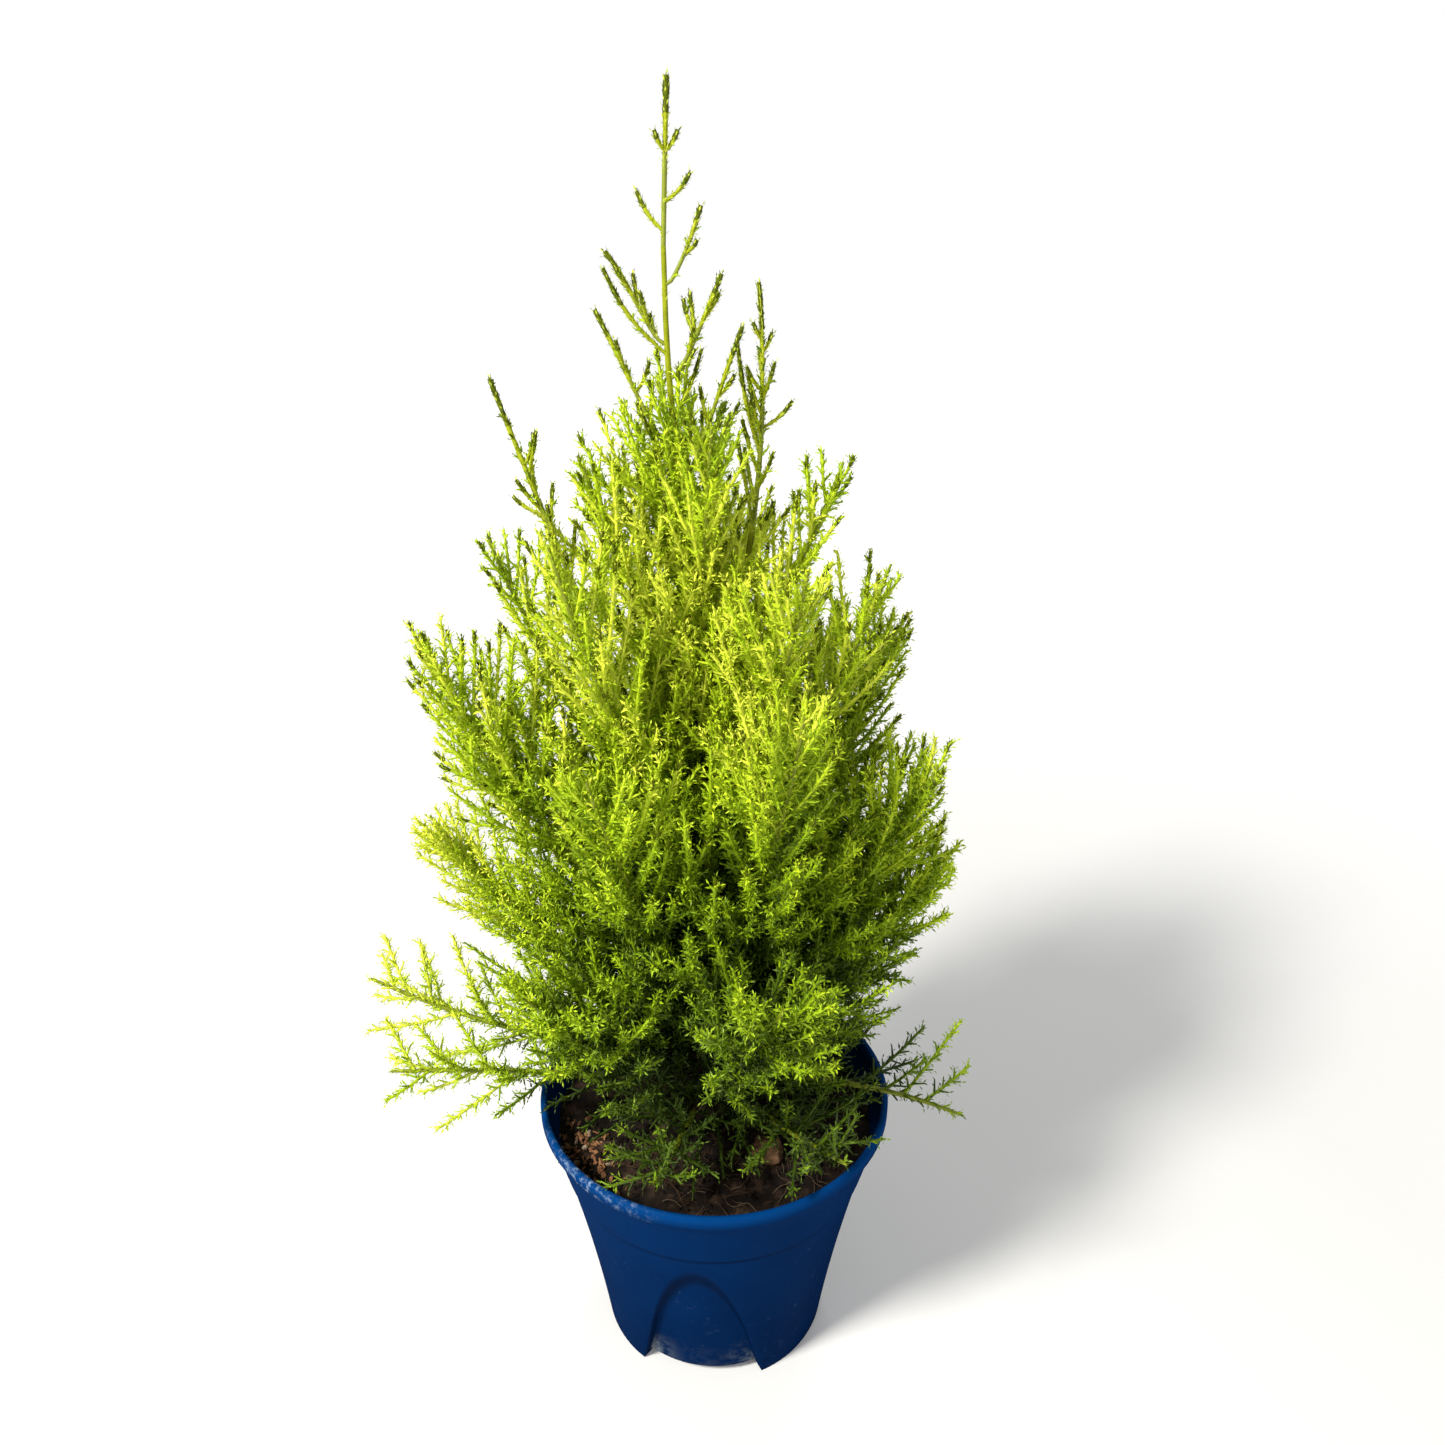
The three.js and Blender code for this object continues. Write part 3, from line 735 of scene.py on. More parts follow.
# Geometry Nodes
def geometry_tree(name, inputs):
    """A tree with a geometry and a material going in and a geometry going out."""
    inputs = [("Geometry", "Geometry", None), *inputs, ("Material", "Material", None)]
    return node_group(name, "GeometryNodeTree", inputs, [("Geometry", "Geometry")])


def finish_tree(tree, given, end, geometry):
    """Makes instances real, gives them their material and puts them out."""
    real = add_node(tree, "GeometryNodeRealizeInstances", {"Geometry": geometry})
    inputs = {"Geometry": real, "Material": given["Material"]}
    feed(tree, end["Geometry"], add_node(tree, "GeometryNodeSetMaterial", inputs))
    return tree


def grown(name, source, tree, values):
    """The plain mesh that a tree makes from a source mesh, as a new object."""
    holder = new_object(name, source)
    modifier = holder.modifiers.new(tree.name, "NODES")
    modifier.node_group = tree
    sockets = {item.name: item.identifier for item in tree.interface.items_tree}
    for label, value in values.items():
        modifier[sockets[label]] = value
    return applied(holder)


def attribute_node(tree, name):
    inputs = {"Name": name}
    return add_node(tree, "GeometryNodeInputNamedAttribute", inputs, "Attribute", data_type="FLOAT")


def random_node(tree, low, high, seed):
    """A random number between two values."""
    number = add_node(tree, "FunctionNodeRandomValue", out=1, data_type="FLOAT")
    sockets = {socket.identifier: socket for socket in number.node.inputs}
    for label, value in (("Min_001", low), ("Max_001", high), ("Seed", seed)):
        feed(tree, sockets[label], value)
    return number


def turn_by(tree, rotation, axis, angle):
    """A rotation turned further round one of its own axes."""
    by = add_node(tree, "FunctionNodeAxisAngleToRotation", {"Axis": axis, "Angle": angle})
    inputs = {"Rotation": rotation, "Rotate By": by}
    return add_node(tree, "FunctionNodeRotateRotation", inputs, rotation_space="LOCAL")


def tube_tree():
    """Tubes along lines of edges, each point's own thickness wide."""
    tree, given, end = geometry_tree("Tubes along lines", [("Sides", "Int", 3)])
    curves = add_node(tree, "GeometryNodeMeshToCurve", {"Mesh": given["Geometry"]})
    ring = {"Resolution": given["Sides"], "Radius": 1}
    profile = add_node(tree, "GeometryNodeCurvePrimitiveCircle", ring)
    inputs = {"Curve": curves, "Profile Curve": profile, "Scale": attribute_node(tree, "thick")}
    tubes = add_node(tree, "GeometryNodeCurveToMesh", inputs)
    smooth = add_node(tree, "GeometryNodeSetShadeSmooth", {"Geometry": tubes})
    return finish_tree(tree, given, end, smooth)


def needle_tree():
    """Needles along lines of edges, each a golden angle round the line from the one before."""
    inputs = [("Needle", "Object", None), ("Spacing", "Float", 0.0007), ("Seed", "Int", 1)]
    tree, given, end = geometry_tree("Needles along twigs", inputs)
    curves = add_node(tree, "GeometryNodeMeshToCurve", {"Mesh": given["Geometry"]})
    inputs = {"Curve": curves, "Length": given["Spacing"]}
    points = add_node(tree, "GeometryNodeCurveToPoints", inputs, mode="LENGTH")
    inputs = {"Vector": points.node.outputs["Tangent"]}
    upright = add_node(tree, "FunctionNodeAlignRotationToVector", inputs, axis="Z")
    turn = times(tree, add_node(tree, "GeometryNodeInputIndex"), GOLDEN_ANGLE)
    lean = times(tree, attribute_node(tree, "lean"), random_node(tree, *LEAN_SPREAD, given["Seed"]))
    facing = turn_by(tree, upright, (0, 0, 1), turn)
    root = times(tree, attribute_node(tree, "thick"), -ROOT_DEPTH)
    inputs = {"Vector": add_node(tree, "ShaderNodeCombineXYZ", {"Y": root}), "Rotation": facing}
    outward = add_node(tree, "FunctionNodeRotateVector", inputs)
    moved = add_node(tree, "GeometryNodeSetPosition", {"Geometry": points, "Offset": outward})
    further = math_node(tree, "ADD", given["Seed"], 11)
    stretch = random_node(tree, *LENGTH_OF_NEEDLES, further)
    inputs = {
        "Points": moved,
        "Instance": add_node(tree, "GeometryNodeObjectInfo", {"Object": given["Needle"]}, "Geometry"),
        "Rotation": turn_by(tree, facing, (1, 0, 0), lean),
        "Scale": times(tree, attribute_node(tree, "needle"), stretch),
    }
    return finish_tree(tree, given, end, add_node(tree, "GeometryNodeInstanceOnPoints", inputs))


def scatter_tree():
    """Copies of a crumb strewn over faces, each turned and sized at random."""
    inputs = [
        ("Crumb", "Object", None),
        ("Density", "Float", 1000.0),
        ("Smallest", "Float", 0.001),
        ("Largest", "Float", 0.003),
        ("Seed", "Int", 1),
    ]
    tree, given, end = geometry_tree("Crumbs strewn", inputs)
    inputs = {
        "Mesh": given["Geometry"],
        "Density": times(tree, attribute_node(tree, "strew"), given["Density"]),
        "Seed": given["Seed"],
    }
    strewn = add_node(tree, "GeometryNodeDistributePointsOnFaces", inputs)
    inputs = {"Max": (FULL_TURN,) * 3, "Seed": given["Seed"]}
    turn = add_node(tree, "FunctionNodeRandomValue", inputs, data_type="FLOAT_VECTOR")
    further = math_node(tree, "ADD", given["Seed"], 5)
    inputs = {
        "Points": strewn,
        "Instance": add_node(tree, "GeometryNodeObjectInfo", {"Object": given["Crumb"]}, "Geometry"),
        "Rotation": add_node(tree, "FunctionNodeEulerToRotation", {"Euler": turn}),
        "Scale": random_node(tree, given["Smallest"], given["Largest"], further),
    }
    return finish_tree(tree, given, end, add_node(tree, "GeometryNodeInstanceOnPoints", inputs))


# Shader nodes
def object_place(tree):
    return add_node(tree, "ShaderNodeTexCoord", out="Object")


def noise_node(tree, place, scale, detail=4.0, rough=0.5):
    inputs = {"Vector": place, "Scale": scale, "Detail": detail, "Roughness": rough}
    return add_node(tree, "ShaderNodeTexNoise", inputs)


def spread_node(tree, value, low, high):
    """A value stretched so that low becomes 0 and high becomes 1."""
    return add_node(tree, "ShaderNodeMapRange", {"Value": value, "From Min": low, "From Max": high})


def between_node(tree, value, low, high):
    """A share from 0 to 1 made a value from low to high."""
    return add_node(tree, "ShaderNodeMapRange", {"Value": value, "To Min": low, "To Max": high})


def ramp(tree, value, stops):
    colour = add_node(tree, "ShaderNodeValToRGB", {"Fac": value})
    elements = colour.node.color_ramp.elements
    while len(elements) < len(stops):
        elements.new(0.5)
    for element, (place, tint) in zip(elements, stops):
        element.position = place
        element.color = (*tint, 1)
    return colour


def mixed(tree, share, first, second):
    inputs = {0: share, 6: first, 7: second}
    return add_node(tree, "ShaderNodeMix", inputs, 2, data_type="RGBA")


def mark(tree, name):
    """A value that the mesh holds at each of its points."""
    return add_node(tree, "ShaderNodeAttribute", out="Fac", attribute_name=name)


def bumped(tree, shader, height, strength, distance):
    inputs = {"Height": height, "Strength": strength, "Distance": distance}
    feed(tree, shader["Normal"], add_node(tree, "ShaderNodeBump", inputs))


def mottle_group():
    """A value that wanders over a surface at a coarse and a fine scale, and a height that follows it."""
    inputs = [("Coarse", "Float", 60.0), ("Fine", "Float", 900.0)]
    outputs = [("Mask", "Float"), ("Height", "Float")]
    group, given, end = node_group("Mottle", "ShaderNodeTree", inputs, outputs)
    place = object_place(group)
    coarse = noise_node(group, place, given["Coarse"], 3.0)
    fine = noise_node(group, place, given["Fine"], 5.0, 0.65)
    both = math_node(group, "MULTIPLY_ADD", fine, 0.4, coarse)
    feed(group, end["Mask"], spread_node(group, both, 0.45, 0.95))
    feed(group, end["Height"], fine)
    return group


def grain_of(tree, mottle, coarse, fine):
    """The mottle's outputs, with a material's own scales."""
    node = tree.nodes.new("ShaderNodeGroup")
    node.node_tree = mottle
    node.inputs["Coarse"].default_value = coarse
    node.inputs["Fine"].default_value = fine
    return node.outputs


# Materials
def new_material(name, roughness, specular=0.5):
    """A material, its node tree and its shader's inputs."""
    material = bpy.data.materials.new(name)
    material.use_nodes = True
    tree = material.node_tree
    shader = tree.nodes["Principled BSDF"].inputs
    shader["Roughness"].default_value = roughness
    shader["Specular IOR Level"].default_value = specular
    return material, tree, shader


def needle_material(tone, mottle):
    """A tone of foliage: one plain colour, slightly waxy, with a fine grain in its gloss."""
    colour, start, _ = TONES[tone]
    sheen = SCALY_SHEEN if start == NEVER else LEAFY_SHEEN
    material, tree, shader = new_material("needle_" + tone, 0.5, sheen)
    shader["Base Color"].default_value = (*colour, 1)
    grain = grain_of(tree, mottle, 400.0, 2500.0)
    feed(tree, shader["Roughness"], between_node(tree, grain["Mask"], 0.42, 0.62))
    return material


def young_stem_material(mottle):
    material, tree, shader = new_material("young_stem", 0.55)
    grain = grain_of(tree, mottle, 250.0, 2000.0)
    darker = tuple(0.72 * part for part in YOUNG_STEM)
    feed(tree, shader["Base Color"], ramp(tree, grain["Mask"], [(0.0, darker), (1.0, YOUNG_STEM)]))
    bumped(tree, shader, grain["Height"], 0.25, 0.0002)
    return material


def bark_material(mottle):
    """Grey brown bark low down, that gives way to the young green stem high up."""
    material, tree, shader = new_material("bark", 0.85, 0.2)
    grain = grain_of(tree, mottle, 90.0, 1100.0)
    woody = ramp(tree, grain["Mask"], OLD_BARK)
    young = ramp(tree, grain["Mask"], YOUNG_BARK)
    height = add_node(tree, "ShaderNodeSeparateXYZ", {0: object_place(tree)}, "Z")
    share = spread_node(tree, height, *YOUNG_BARK_BAND)
    feed(tree, shader["Base Color"], mixed(tree, share, woody, young))
    bumped(tree, shader, grain["Height"], 0.5, 0.0006)
    return material


def earth_material(name, mottle):
    """A rough, mottled brown: peat, chips, clod, husks, straws or rootlets."""
    material, tree, shader = new_material(name, EARTH_ROUGHNESS.get(name, DULL), 0.2)
    grain = grain_of(tree, mottle, 140.0, 1500.0)
    feed(tree, shader["Base Color"], ramp(tree, grain["Mask"], EARTH[name]))
    bumped(tree, shader, grain["Height"], 0.8, 0.0012)
    return material


def pot_material(mottle):
    """Satin blue plastic with dust, a scuff and dried splashes; painted light makes it paler towards the lip,
    which is partly sun-faded too, and painted shade darkens the reveals and a line under the collar.
    """
    material, tree, shader = new_material("blue_plastic", 0.42, 0.0)
    shader["Coat Weight"].default_value = 0.02
    shader["Coat Roughness"].default_value = 0.3
    place = object_place(tree)
    grain = grain_of(tree, mottle, 28.0, 420.0)
    height = add_node(tree, "ShaderNodeSeparateXYZ", {0: place}, "Z")
    # a thin painted shadow line at and just under the collar's step
    below = spread_node(tree, height, *COLLAR_SHADOW_FROM_BELOW)
    step = times(tree, below, spread_node(tree, height, *COLLAR_SHADOW_FROM_ABOVE))
    speck = noise_node(tree, place, 260.0, 8.0, 0.75)
    specks = spread_node(tree, speck, 0.58, 0.74)
    patches = spread_node(tree, noise_node(tree, place, 24.0, 3.0), 0.54, 0.70)
    splash = spread_node(tree, noise_node(tree, place, 90.0, 6.0, 0.7), 0.44, 0.66)
    # painted light up the wall and on the lip, which is also partly sun-faded, then painted shade in the
    # reveals and under the collar, then dust, the scuff and splashes
    layers = [
        (times(tree, spread_node(tree, height, *UPPER_BAND), 0.5), UPPER_BLUE),
        (spread_node(tree, height, *LIP_BAND), LIP_BLUE),
        (times(tree, mark(tree, "reveal_shade"), 0.55), SHADED_BLUE),
        (times(tree, step, 0.6), SHADED_BLUE),
        (times(tree, times(tree, specks, patches), 0.5), DUST),
        (times(tree, spread_node(tree, speck, 0.50, 0.66), mark(tree, "scuff")), SCUFF),
        (times(tree, splash, mark(tree, "splash")), SPLASH),
    ]
    tint = ramp(tree, grain["Mask"], BLUE)
    for share, colour in layers:
        tint = mixed(tree, share, tint, (*colour, 1))
    feed(tree, shader["Base Color"], tint)
    feed(tree, shader["Roughness"], between_node(tree, grain["Mask"], 0.36, 0.56))
    bumped(tree, shader, grain["Height"], 0.12, 0.0004)
    return material


def floor_material():
    material, tree, shader = new_material("pale_floor", 0.9, 0.1)
    place = object_place(tree)
    feed(tree, shader["Base Color"], ramp(tree, noise_node(tree, place, 3.0), FLOOR_TINT))
    shader["Emission Strength"].default_value = GLOW_STRENGTH
    far = add_node(tree, "ShaderNodeVectorMath", {0: place}, "Value", operation="LENGTH")
    feed(tree, shader["Emission Color"], ramp(tree, spread_node(tree, far, *GLOW_BAND), FLOOR_GLOW))
    return material


# Pot
def wall_radius(height):
    return FOOT_RADIUS + WALL_SLOPE * height + WALL_FLARE * height * height


def bezier_point(corners, share):
    weights = [
        (1 - share) ** 3,
        3 * share * (1 - share) ** 2,
        3 * share**2 * (1 - share),
        share**3,
    ]
    return sum(weight * np.array(corner, float) for weight, corner in zip(weights, corners))


def half_arch(arch):
    """Half widths and heights of an arch from its foot up to its crown."""
    rows = []
    for i in range(ARCH_ROWS["line"]):
        share = i / ARCH_ROWS["line"]
        half = blend(arch["foot"], arch["spring"], share)
        rows.append((half, blend(arch["foot_height"], ARCH_SPRING, share)))
    count = ARCH_ROWS["all"] - ARCH_ROWS["line"]
    spring, top = arch["spring"], arch["top"]
    corners = [
        (spring, ARCH_SPRING),
        (ARCH_SHOULDER[0] * spring, ARCH_SHOULDER[1] * top),
        (ARCH_CROWN * spring, top),
        (0, top),
    ]
    rows.extend(bezier_point(corners, i / count) for i in range(count + 1))
    return rows


def on_pot(radius, angle, height):
    """A point at a radius and height, at an angle from the -Y side towards +X."""
    return (radius * math.sin(angle), -radius * math.cos(angle), height)


def angle_at(aside, radius):
    """The angle at which a wall of a radius lies that far to the side."""
    return math.asin(min(1, aside / radius))


def arch_sector(middle, side):
    """One side of one third of the wall: round the arch, its sloping band, the panel and the foot."""
    outline = half_arch(ARCH_OUTLINE)
    panel = half_arch(ARCH_PANEL)
    rows = ARCH_ROWS["all"] + 1
    corner = ARCH_ROWS["corner"]
    vertices, faces = [], []
    wall, band, sunk = [], [], []
    for row in range(rows):
        (x, z), (px, pz) = outline[row], panel[row]
        angle = angle_at(x, wall_radius(z))
        edge = min(1, row / corner)
        over = max(0, (row - corner) / (rows - 1 - corner))
        border = (SECTOR_HALF * (1 - over), COLLAR_FOOT * edge)
        for column in range(ARCH_COLUMNS["wall"] + 1):
            share = column / ARCH_COLUMNS["wall"]
            here = blend(angle, border[0], share)
            height = blend(z, border[1], share)
            wall.append(on_pot(wall_radius(height), middle + side * here, height))
        for column in range(ARCH_COLUMNS["band"] + 1):
            share = column / ARCH_COLUMNS["band"]
            height = blend(z, pz, share)
            radius = wall_radius(height) - ARCH_DEPTH * share
            here = angle_at(blend(x, px, share), radius)
            band.append(on_pot(radius, middle + side * here, height))
        radius = wall_radius(pz) - ARCH_DEPTH
        for column in range(ARCH_COLUMNS["panel"] + 1):
            share = column / ARCH_COLUMNS["panel"]
            sunk.append(on_pot(radius, middle + side * angle_at(px * (1 - share), radius), pz))

    def add_rows(points, columns):
        join(vertices, faces, points, grid_faces(len(points) // columns, columns))

    add_rows(wall, ARCH_COLUMNS["wall"] + 1)
    add_rows(band, ARCH_COLUMNS["band"] + 1)
    add_rows(sunk, ARCH_COLUMNS["panel"] + 1)
    foot_wall = wall[: ARCH_COLUMNS["wall"] + 1]
    angles = [math.atan2(x, -y) for x, y, z in foot_wall]
    inner = [on_pot(FOOT_INNER_RADIUS, angle, 0) for angle in angles]
    inner_top = [on_pot(FOOT_INNER_RADIUS, angle, FLOOR_UNDERSIDE) for angle in angles]
    add_rows(foot_wall + inner + inner_top, len(foot_wall))
    sunk_foot = sunk[: ARCH_COLUMNS["panel"] + 1]
    panel_angles = [math.atan2(x, -y) for x, y, z in sunk_foot[1:]]
    floor_edge = [inner_top[0]]
    floor_edge += [on_pot(FOOT_INNER_RADIUS, angle, FLOOR_UNDERSIDE) for angle in panel_angles]
    add_rows(sunk_foot + floor_edge, len(sunk_foot))
    cheek = [*band[: ARCH_COLUMNS["band"] + 1], inner_top[0], inner[0]]
    join(vertices, faces, cheek, [tuple(range(len(cheek)))])
    ring = inner_top[::-1] + floor_edge[1:]
    fan = [(0, i, i + 1) for i in range(1, len(ring))]
    join(vertices, faces, [(0, 0, FLOOR_UNDERSIDE), *ring], fan)
    return vertices, faces


def lip_profile():
    """Radius and height from the top of the lower wall, over the lip and down inside."""
    middle = (LIP_RADIUS - LIP_ROUND, POT_HEIGHT - LIP_ROUND)
    crown = [
        (middle[0] + LIP_ROUND * math.cos(a), middle[1] + LIP_ROUND * math.sin(a))
        for a in np.linspace(0.1, math.pi - 0.1, LIP_STEPS)
    ]
    foot = wall_radius(COLLAR_FOOT)
    top = LIP_RADIUS - 2 * LIP_ROUND
    return [
        (foot, COLLAR_FOOT),
        (foot + 0.1, COLLAR_FOOT + 0.15),
        (foot + COLLAR_STEP, COLLAR_FOOT + 1.1),
        (foot + COLLAR_STEP + 0.2, COLLAR_FOOT + 1.8),
        (blend(foot, COLLAR_TOP_RADIUS, 0.35) + 0.6, COLLAR_FOOT + 9),
        (blend(foot, COLLAR_TOP_RADIUS, 0.68) + 0.3, COLLAR_FOOT + 17),
        (COLLAR_TOP_RADIUS, COLLAR_TOP),
        (LIP_FOOT_RADIUS - 0.9, LIP_FOOT - 1),
        (LIP_FOOT_RADIUS + 0.3, LIP_FOOT),
        (LIP_RADIUS - 0.5, LIP_FOOT + 0.8),
        (LIP_RADIUS, LIP_FOOT + 2),
        *crown,
        (top - 0.1, LIP_FOOT + 1),
        (top - 1.2, LIP_FOOT - 2),
        (COLLAR_TOP_RADIUS - WALL, COLLAR_TOP),
        (COLLAR_TOP_RADIUS - WALL - 3.5, INSIDE_FLOOR),
    ]


def mark_shade_and_wear(pot):
    """How much painted shade each point of the pot gets in an arch's reveal, and how much it lies in a scuff
    on the lip or in a dried splash.
    """
    marks = {"reveal_shade": [], "scuff": [], "splash": []}
    for vertex in pot.data.vertices:
        x, y, z = from_axis(vertex.co)
        depth = wall_radius(z) - math.hypot(x, y)
        low = z < COLLAR_FOOT
        # painted shade in the reveals, strongest on the sloping band between the wall and the sunk panel
        reveal_shade = np.interp(depth, (0.2, 1.4, 3.4, ARCH_DEPTH - 0.2), (0, 1, 1, 0)) if low else 0
        angle = math.atan2(x, -y)
        from_arch = (angle - FIRST_ARCH + SECTOR_HALF) % (2 * SECTOR_HALF) - SECTOR_HALF
        aside = abs(from_arch) * math.hypot(x, y) / ARCH_PANEL["foot"]
        on_panel = low and ARCH_DEPTH - 0.3 < depth < ARCH_DEPTH + 0.5
        splash = np.interp(z, SPLASH_HEIGHTS, (1, 0)) * np.interp(aside, SPLASH_ASIDE, SPLASH_STRENGTH)
        worn = max(0, 1 - abs(angle - SCUFF_ANGLE) / SCUFF_HALF) if z > LIP_FOOT - 1 else 0
        marks["reveal_shade"].append(reveal_shade)
        marks["splash"].append(splash if on_panel else 0)
        marks["scuff"].append(SCUFF_STRENGTH * worn)
    for name, values in marks.items():
        pot.data.attributes.new(name, "FLOAT", "POINT").data.foreach_set("value", values)


def build_pot(material):
    vertices, faces = [], []
    for arch in range(ARCH_COUNT):
        middle = FIRST_ARCH + arch / ARCH_COUNT * FULL_TURN
        for side in (1, -1):
            join(vertices, faces, *arch_sector(middle, side))
    profile = lip_profile()
    columns = 2 * ARCH_COUNT * (ARCH_ROWS["all"] - ARCH_ROWS["corner"])
    start = len(vertices)
    for radius, height in profile:
        for column in range(columns):
            vertices.append(on_pot(radius, FIRST_ARCH + column / columns * FULL_TURN, height))
    faces.extend(grid_faces(len(profile), columns, start, closed=True))
    last = start + (len(profile) - 1) * columns
    faces.append(tuple(range(last, last + columns)))
    pot = cleaned(mesh_object("pot_shell", placed(vertices), faces, material))
    edges = pot.modifiers.new("edges", "BEVEL")
    edges.width = EDGE_ROUNDING * MM
    edges.segments = 2
    edges.limit_method = "ANGLE"
    edges.angle_limit = ROUNDED_FROM
    applied(pot)
    mark_shade_and_wear(pot)
    pot.data.set_sharp_from_angle(angle=SHARP_FROM)
    return pot


# Soil
def soil_height(x, y):
    """Height of the soil: a low crown, with lumps of two sizes."""
    far = min(1, math.hypot(x, y) / SOIL_RADIUS)
    lump = noise.fractal(Vector((x, y, 3)) * 0.07, 0.7, 2.0, 5) * SOIL_LUMP
    grit = noise.noise(Vector((x, y, 9)) * 0.42) * SOIL_GRIT
    return SOIL_TOP + SOIL_CROWN * (1 - far**2) - SOIL_SUNK + lump + grit


def build_soil(material):
    vertices = disc_points(SOIL_RADIUS, SOIL_RINGS, SOIL_COLUMNS, soil_height)
    faces = [tuple(reversed(face)) for face in grid_faces(SOIL_RINGS, SOIL_COLUMNS, closed=True)]
    faces.append(tuple(range(SOIL_COLUMNS)))
    low = len(vertices)
    edge = low - SOIL_COLUMNS
    vertices.extend((x * SOIL_UNDERCUT, y * SOIL_UNDERCUT, SOIL_BASE) for x, y, _ in vertices[edge:])
    for column in range(SOIL_COLUMNS):
        beside = (column + 1) % SOIL_COLUMNS
        faces.append((edge + column, low + column, low + beside, edge + beside))
    faces.append(tuple(reversed(range(low, low + SOIL_COLUMNS))))
    return cleaned(mesh_object("soil_bed", placed(vertices), faces, material))


def crumb_shape(name, stretch, seed):
    """A small lumpy stone with twenty faces."""
    draw = draws(seed)

    def shape(vertex):
        vertex.co *= draw(0.72, 1.18)
        for axis in range(3):
            vertex.co[axis] *= stretch[axis]

    return bpy.data.objects.new(name, ball_mesh(name, 1, 0.5, shape))


def build_clod(material):
    """The one pale clod of peat and roots that lies right of the stem."""
    x, y = CLOD_PLACE

    def shape(vertex):
        way = vertex.co.normalized()
        lump = 1 + CLOD_LUMP * noise.fractal(way * 1.6, 0.8, 2.0, 5) + CLOD_GRIT * noise.noise(way * 9)
        vertex.co = Vector((way.x * CLOD_SIZE[0], way.y * CLOD_SIZE[1], way.z * CLOD_SIZE[2])) * lump
        vertex.co += Vector((x, y, soil_height(x, y) + CLOD_SHOWING * CLOD_SIZE[2]))

    mesh = ball_mesh("tan_clod", 4, 1, shape)
    vertices = placed([vertex.co for vertex in mesh.vertices])
    faces = [tuple(face.vertices) for face in mesh.polygons]
    return mesh_object("tan_clod", vertices, faces, material)


def fibres_over(name, places, tree, seed, material):
    """Fine rootlets that lie in loose curls on the soil."""
    draw = draws(seed)
    strands = []
    for (cx, cy), spread, count in places:
        for _ in range(count):
            angle = draw(0, FULL_TURN)
            far = spread * math.sqrt(draw())
            x, y = cx + far * math.cos(angle), cy + far * math.sin(angle)
            way = draw(0, FULL_TURN)
            curl = draw(-0.35, 0.35)
            rise = draw(0.3, 1.8)
            steps = int(draw(6, 13))
            points = []
            for step in range(steps):
                if math.hypot(x, y) < SOIL_RADIUS - 3:
                    lift = rise * math.sin(math.pi * step / (steps - 1))
                    points.append((x, y, soil_height(x, y) + 0.4 + lift))
                way += curl + draw(-0.2, 0.2)
                x, y = x + FIBRE_STEP * math.cos(way), y + FIBRE_STEP * math.sin(way)
            if len(points) > 3:
                strands.append(even_strand(points, draw(*FIBRE_RADIUS), "", 0, 0))
    return grown(name, guide_mesh(name + "_lines", strands), tree, {"Sides": 3, "Material": material})


def patches_mesh(name, places):
    """Round patches of the soil, with how thickly each point is strewn."""
    vertices, faces, weights = [], [], []
    for (cx, cy), radius, share in places:
        start = len(vertices)
        for row in range(PATCH_CELLS + 1):
            for column in range(PATCH_CELLS + 1):
                x = cx + radius * (2 * column / PATCH_CELLS - 1)
                y = cy + radius * (2 * row / PATCH_CELLS - 1)
                inside = math.hypot(x, y) < SOIL_RADIUS - 1.5
                near = max(0, 1 - math.hypot(x - cx, y - cy) / radius)
                clear = math.hypot(x + 1, y) > TRUNK_RADIUS + ROOT_FLARE + 1
                vertices.append((x, y, soil_height(x, y) + 0.2))
                weights.append(share * min(1, 2.5 * near) if inside and clear else 0)
        faces.extend(grid_faces(PATCH_CELLS + 1, PATCH_CELLS + 1, start))
    mesh = bpy.data.meshes.new(name)
    mesh.from_pydata([tuple(v) for v in placed(vertices)], [], faces)
    mesh.attributes.new("strew", "FLOAT", "POINT").data.foreach_set("value", weights)
    return mesh


def build_litter(earth, tubes):
    """What lies on the soil: crumbs, lumps, chips of bark, pale chips, the clod, rootlets and straws."""
    strew = scatter_tree()
    shapes = {name: crumb_shape(name, *row) for name, row in CRUMB_SHAPES.items()}
    pieces = []
    for name, places, shape, density, smallest, largest, seed, material in STREWN:
        values = {
            "Crumb": shapes[shape],
            "Density": density,
            "Smallest": smallest * MM,
            "Largest": largest * MM,
            "Seed": seed,
            "Material": earth[material],
        }
        pieces.append(grown(name, patches_mesh(name + "_ground", places), strew, values))
    pieces.append(build_clod(earth["tan_clod"]))
    pieces.append(fibres_over("rootlets", ROOTLET_PLACES, tubes, ROOTLET_SEED, earth["rootlet"]))
    pieces.append(fibres_over("straws", STRAW_PLACES, tubes, STRAW_SEED, earth["straw"]))
    for shape in shapes.values():
        bpy.data.objects.remove(shape)
    return pieces


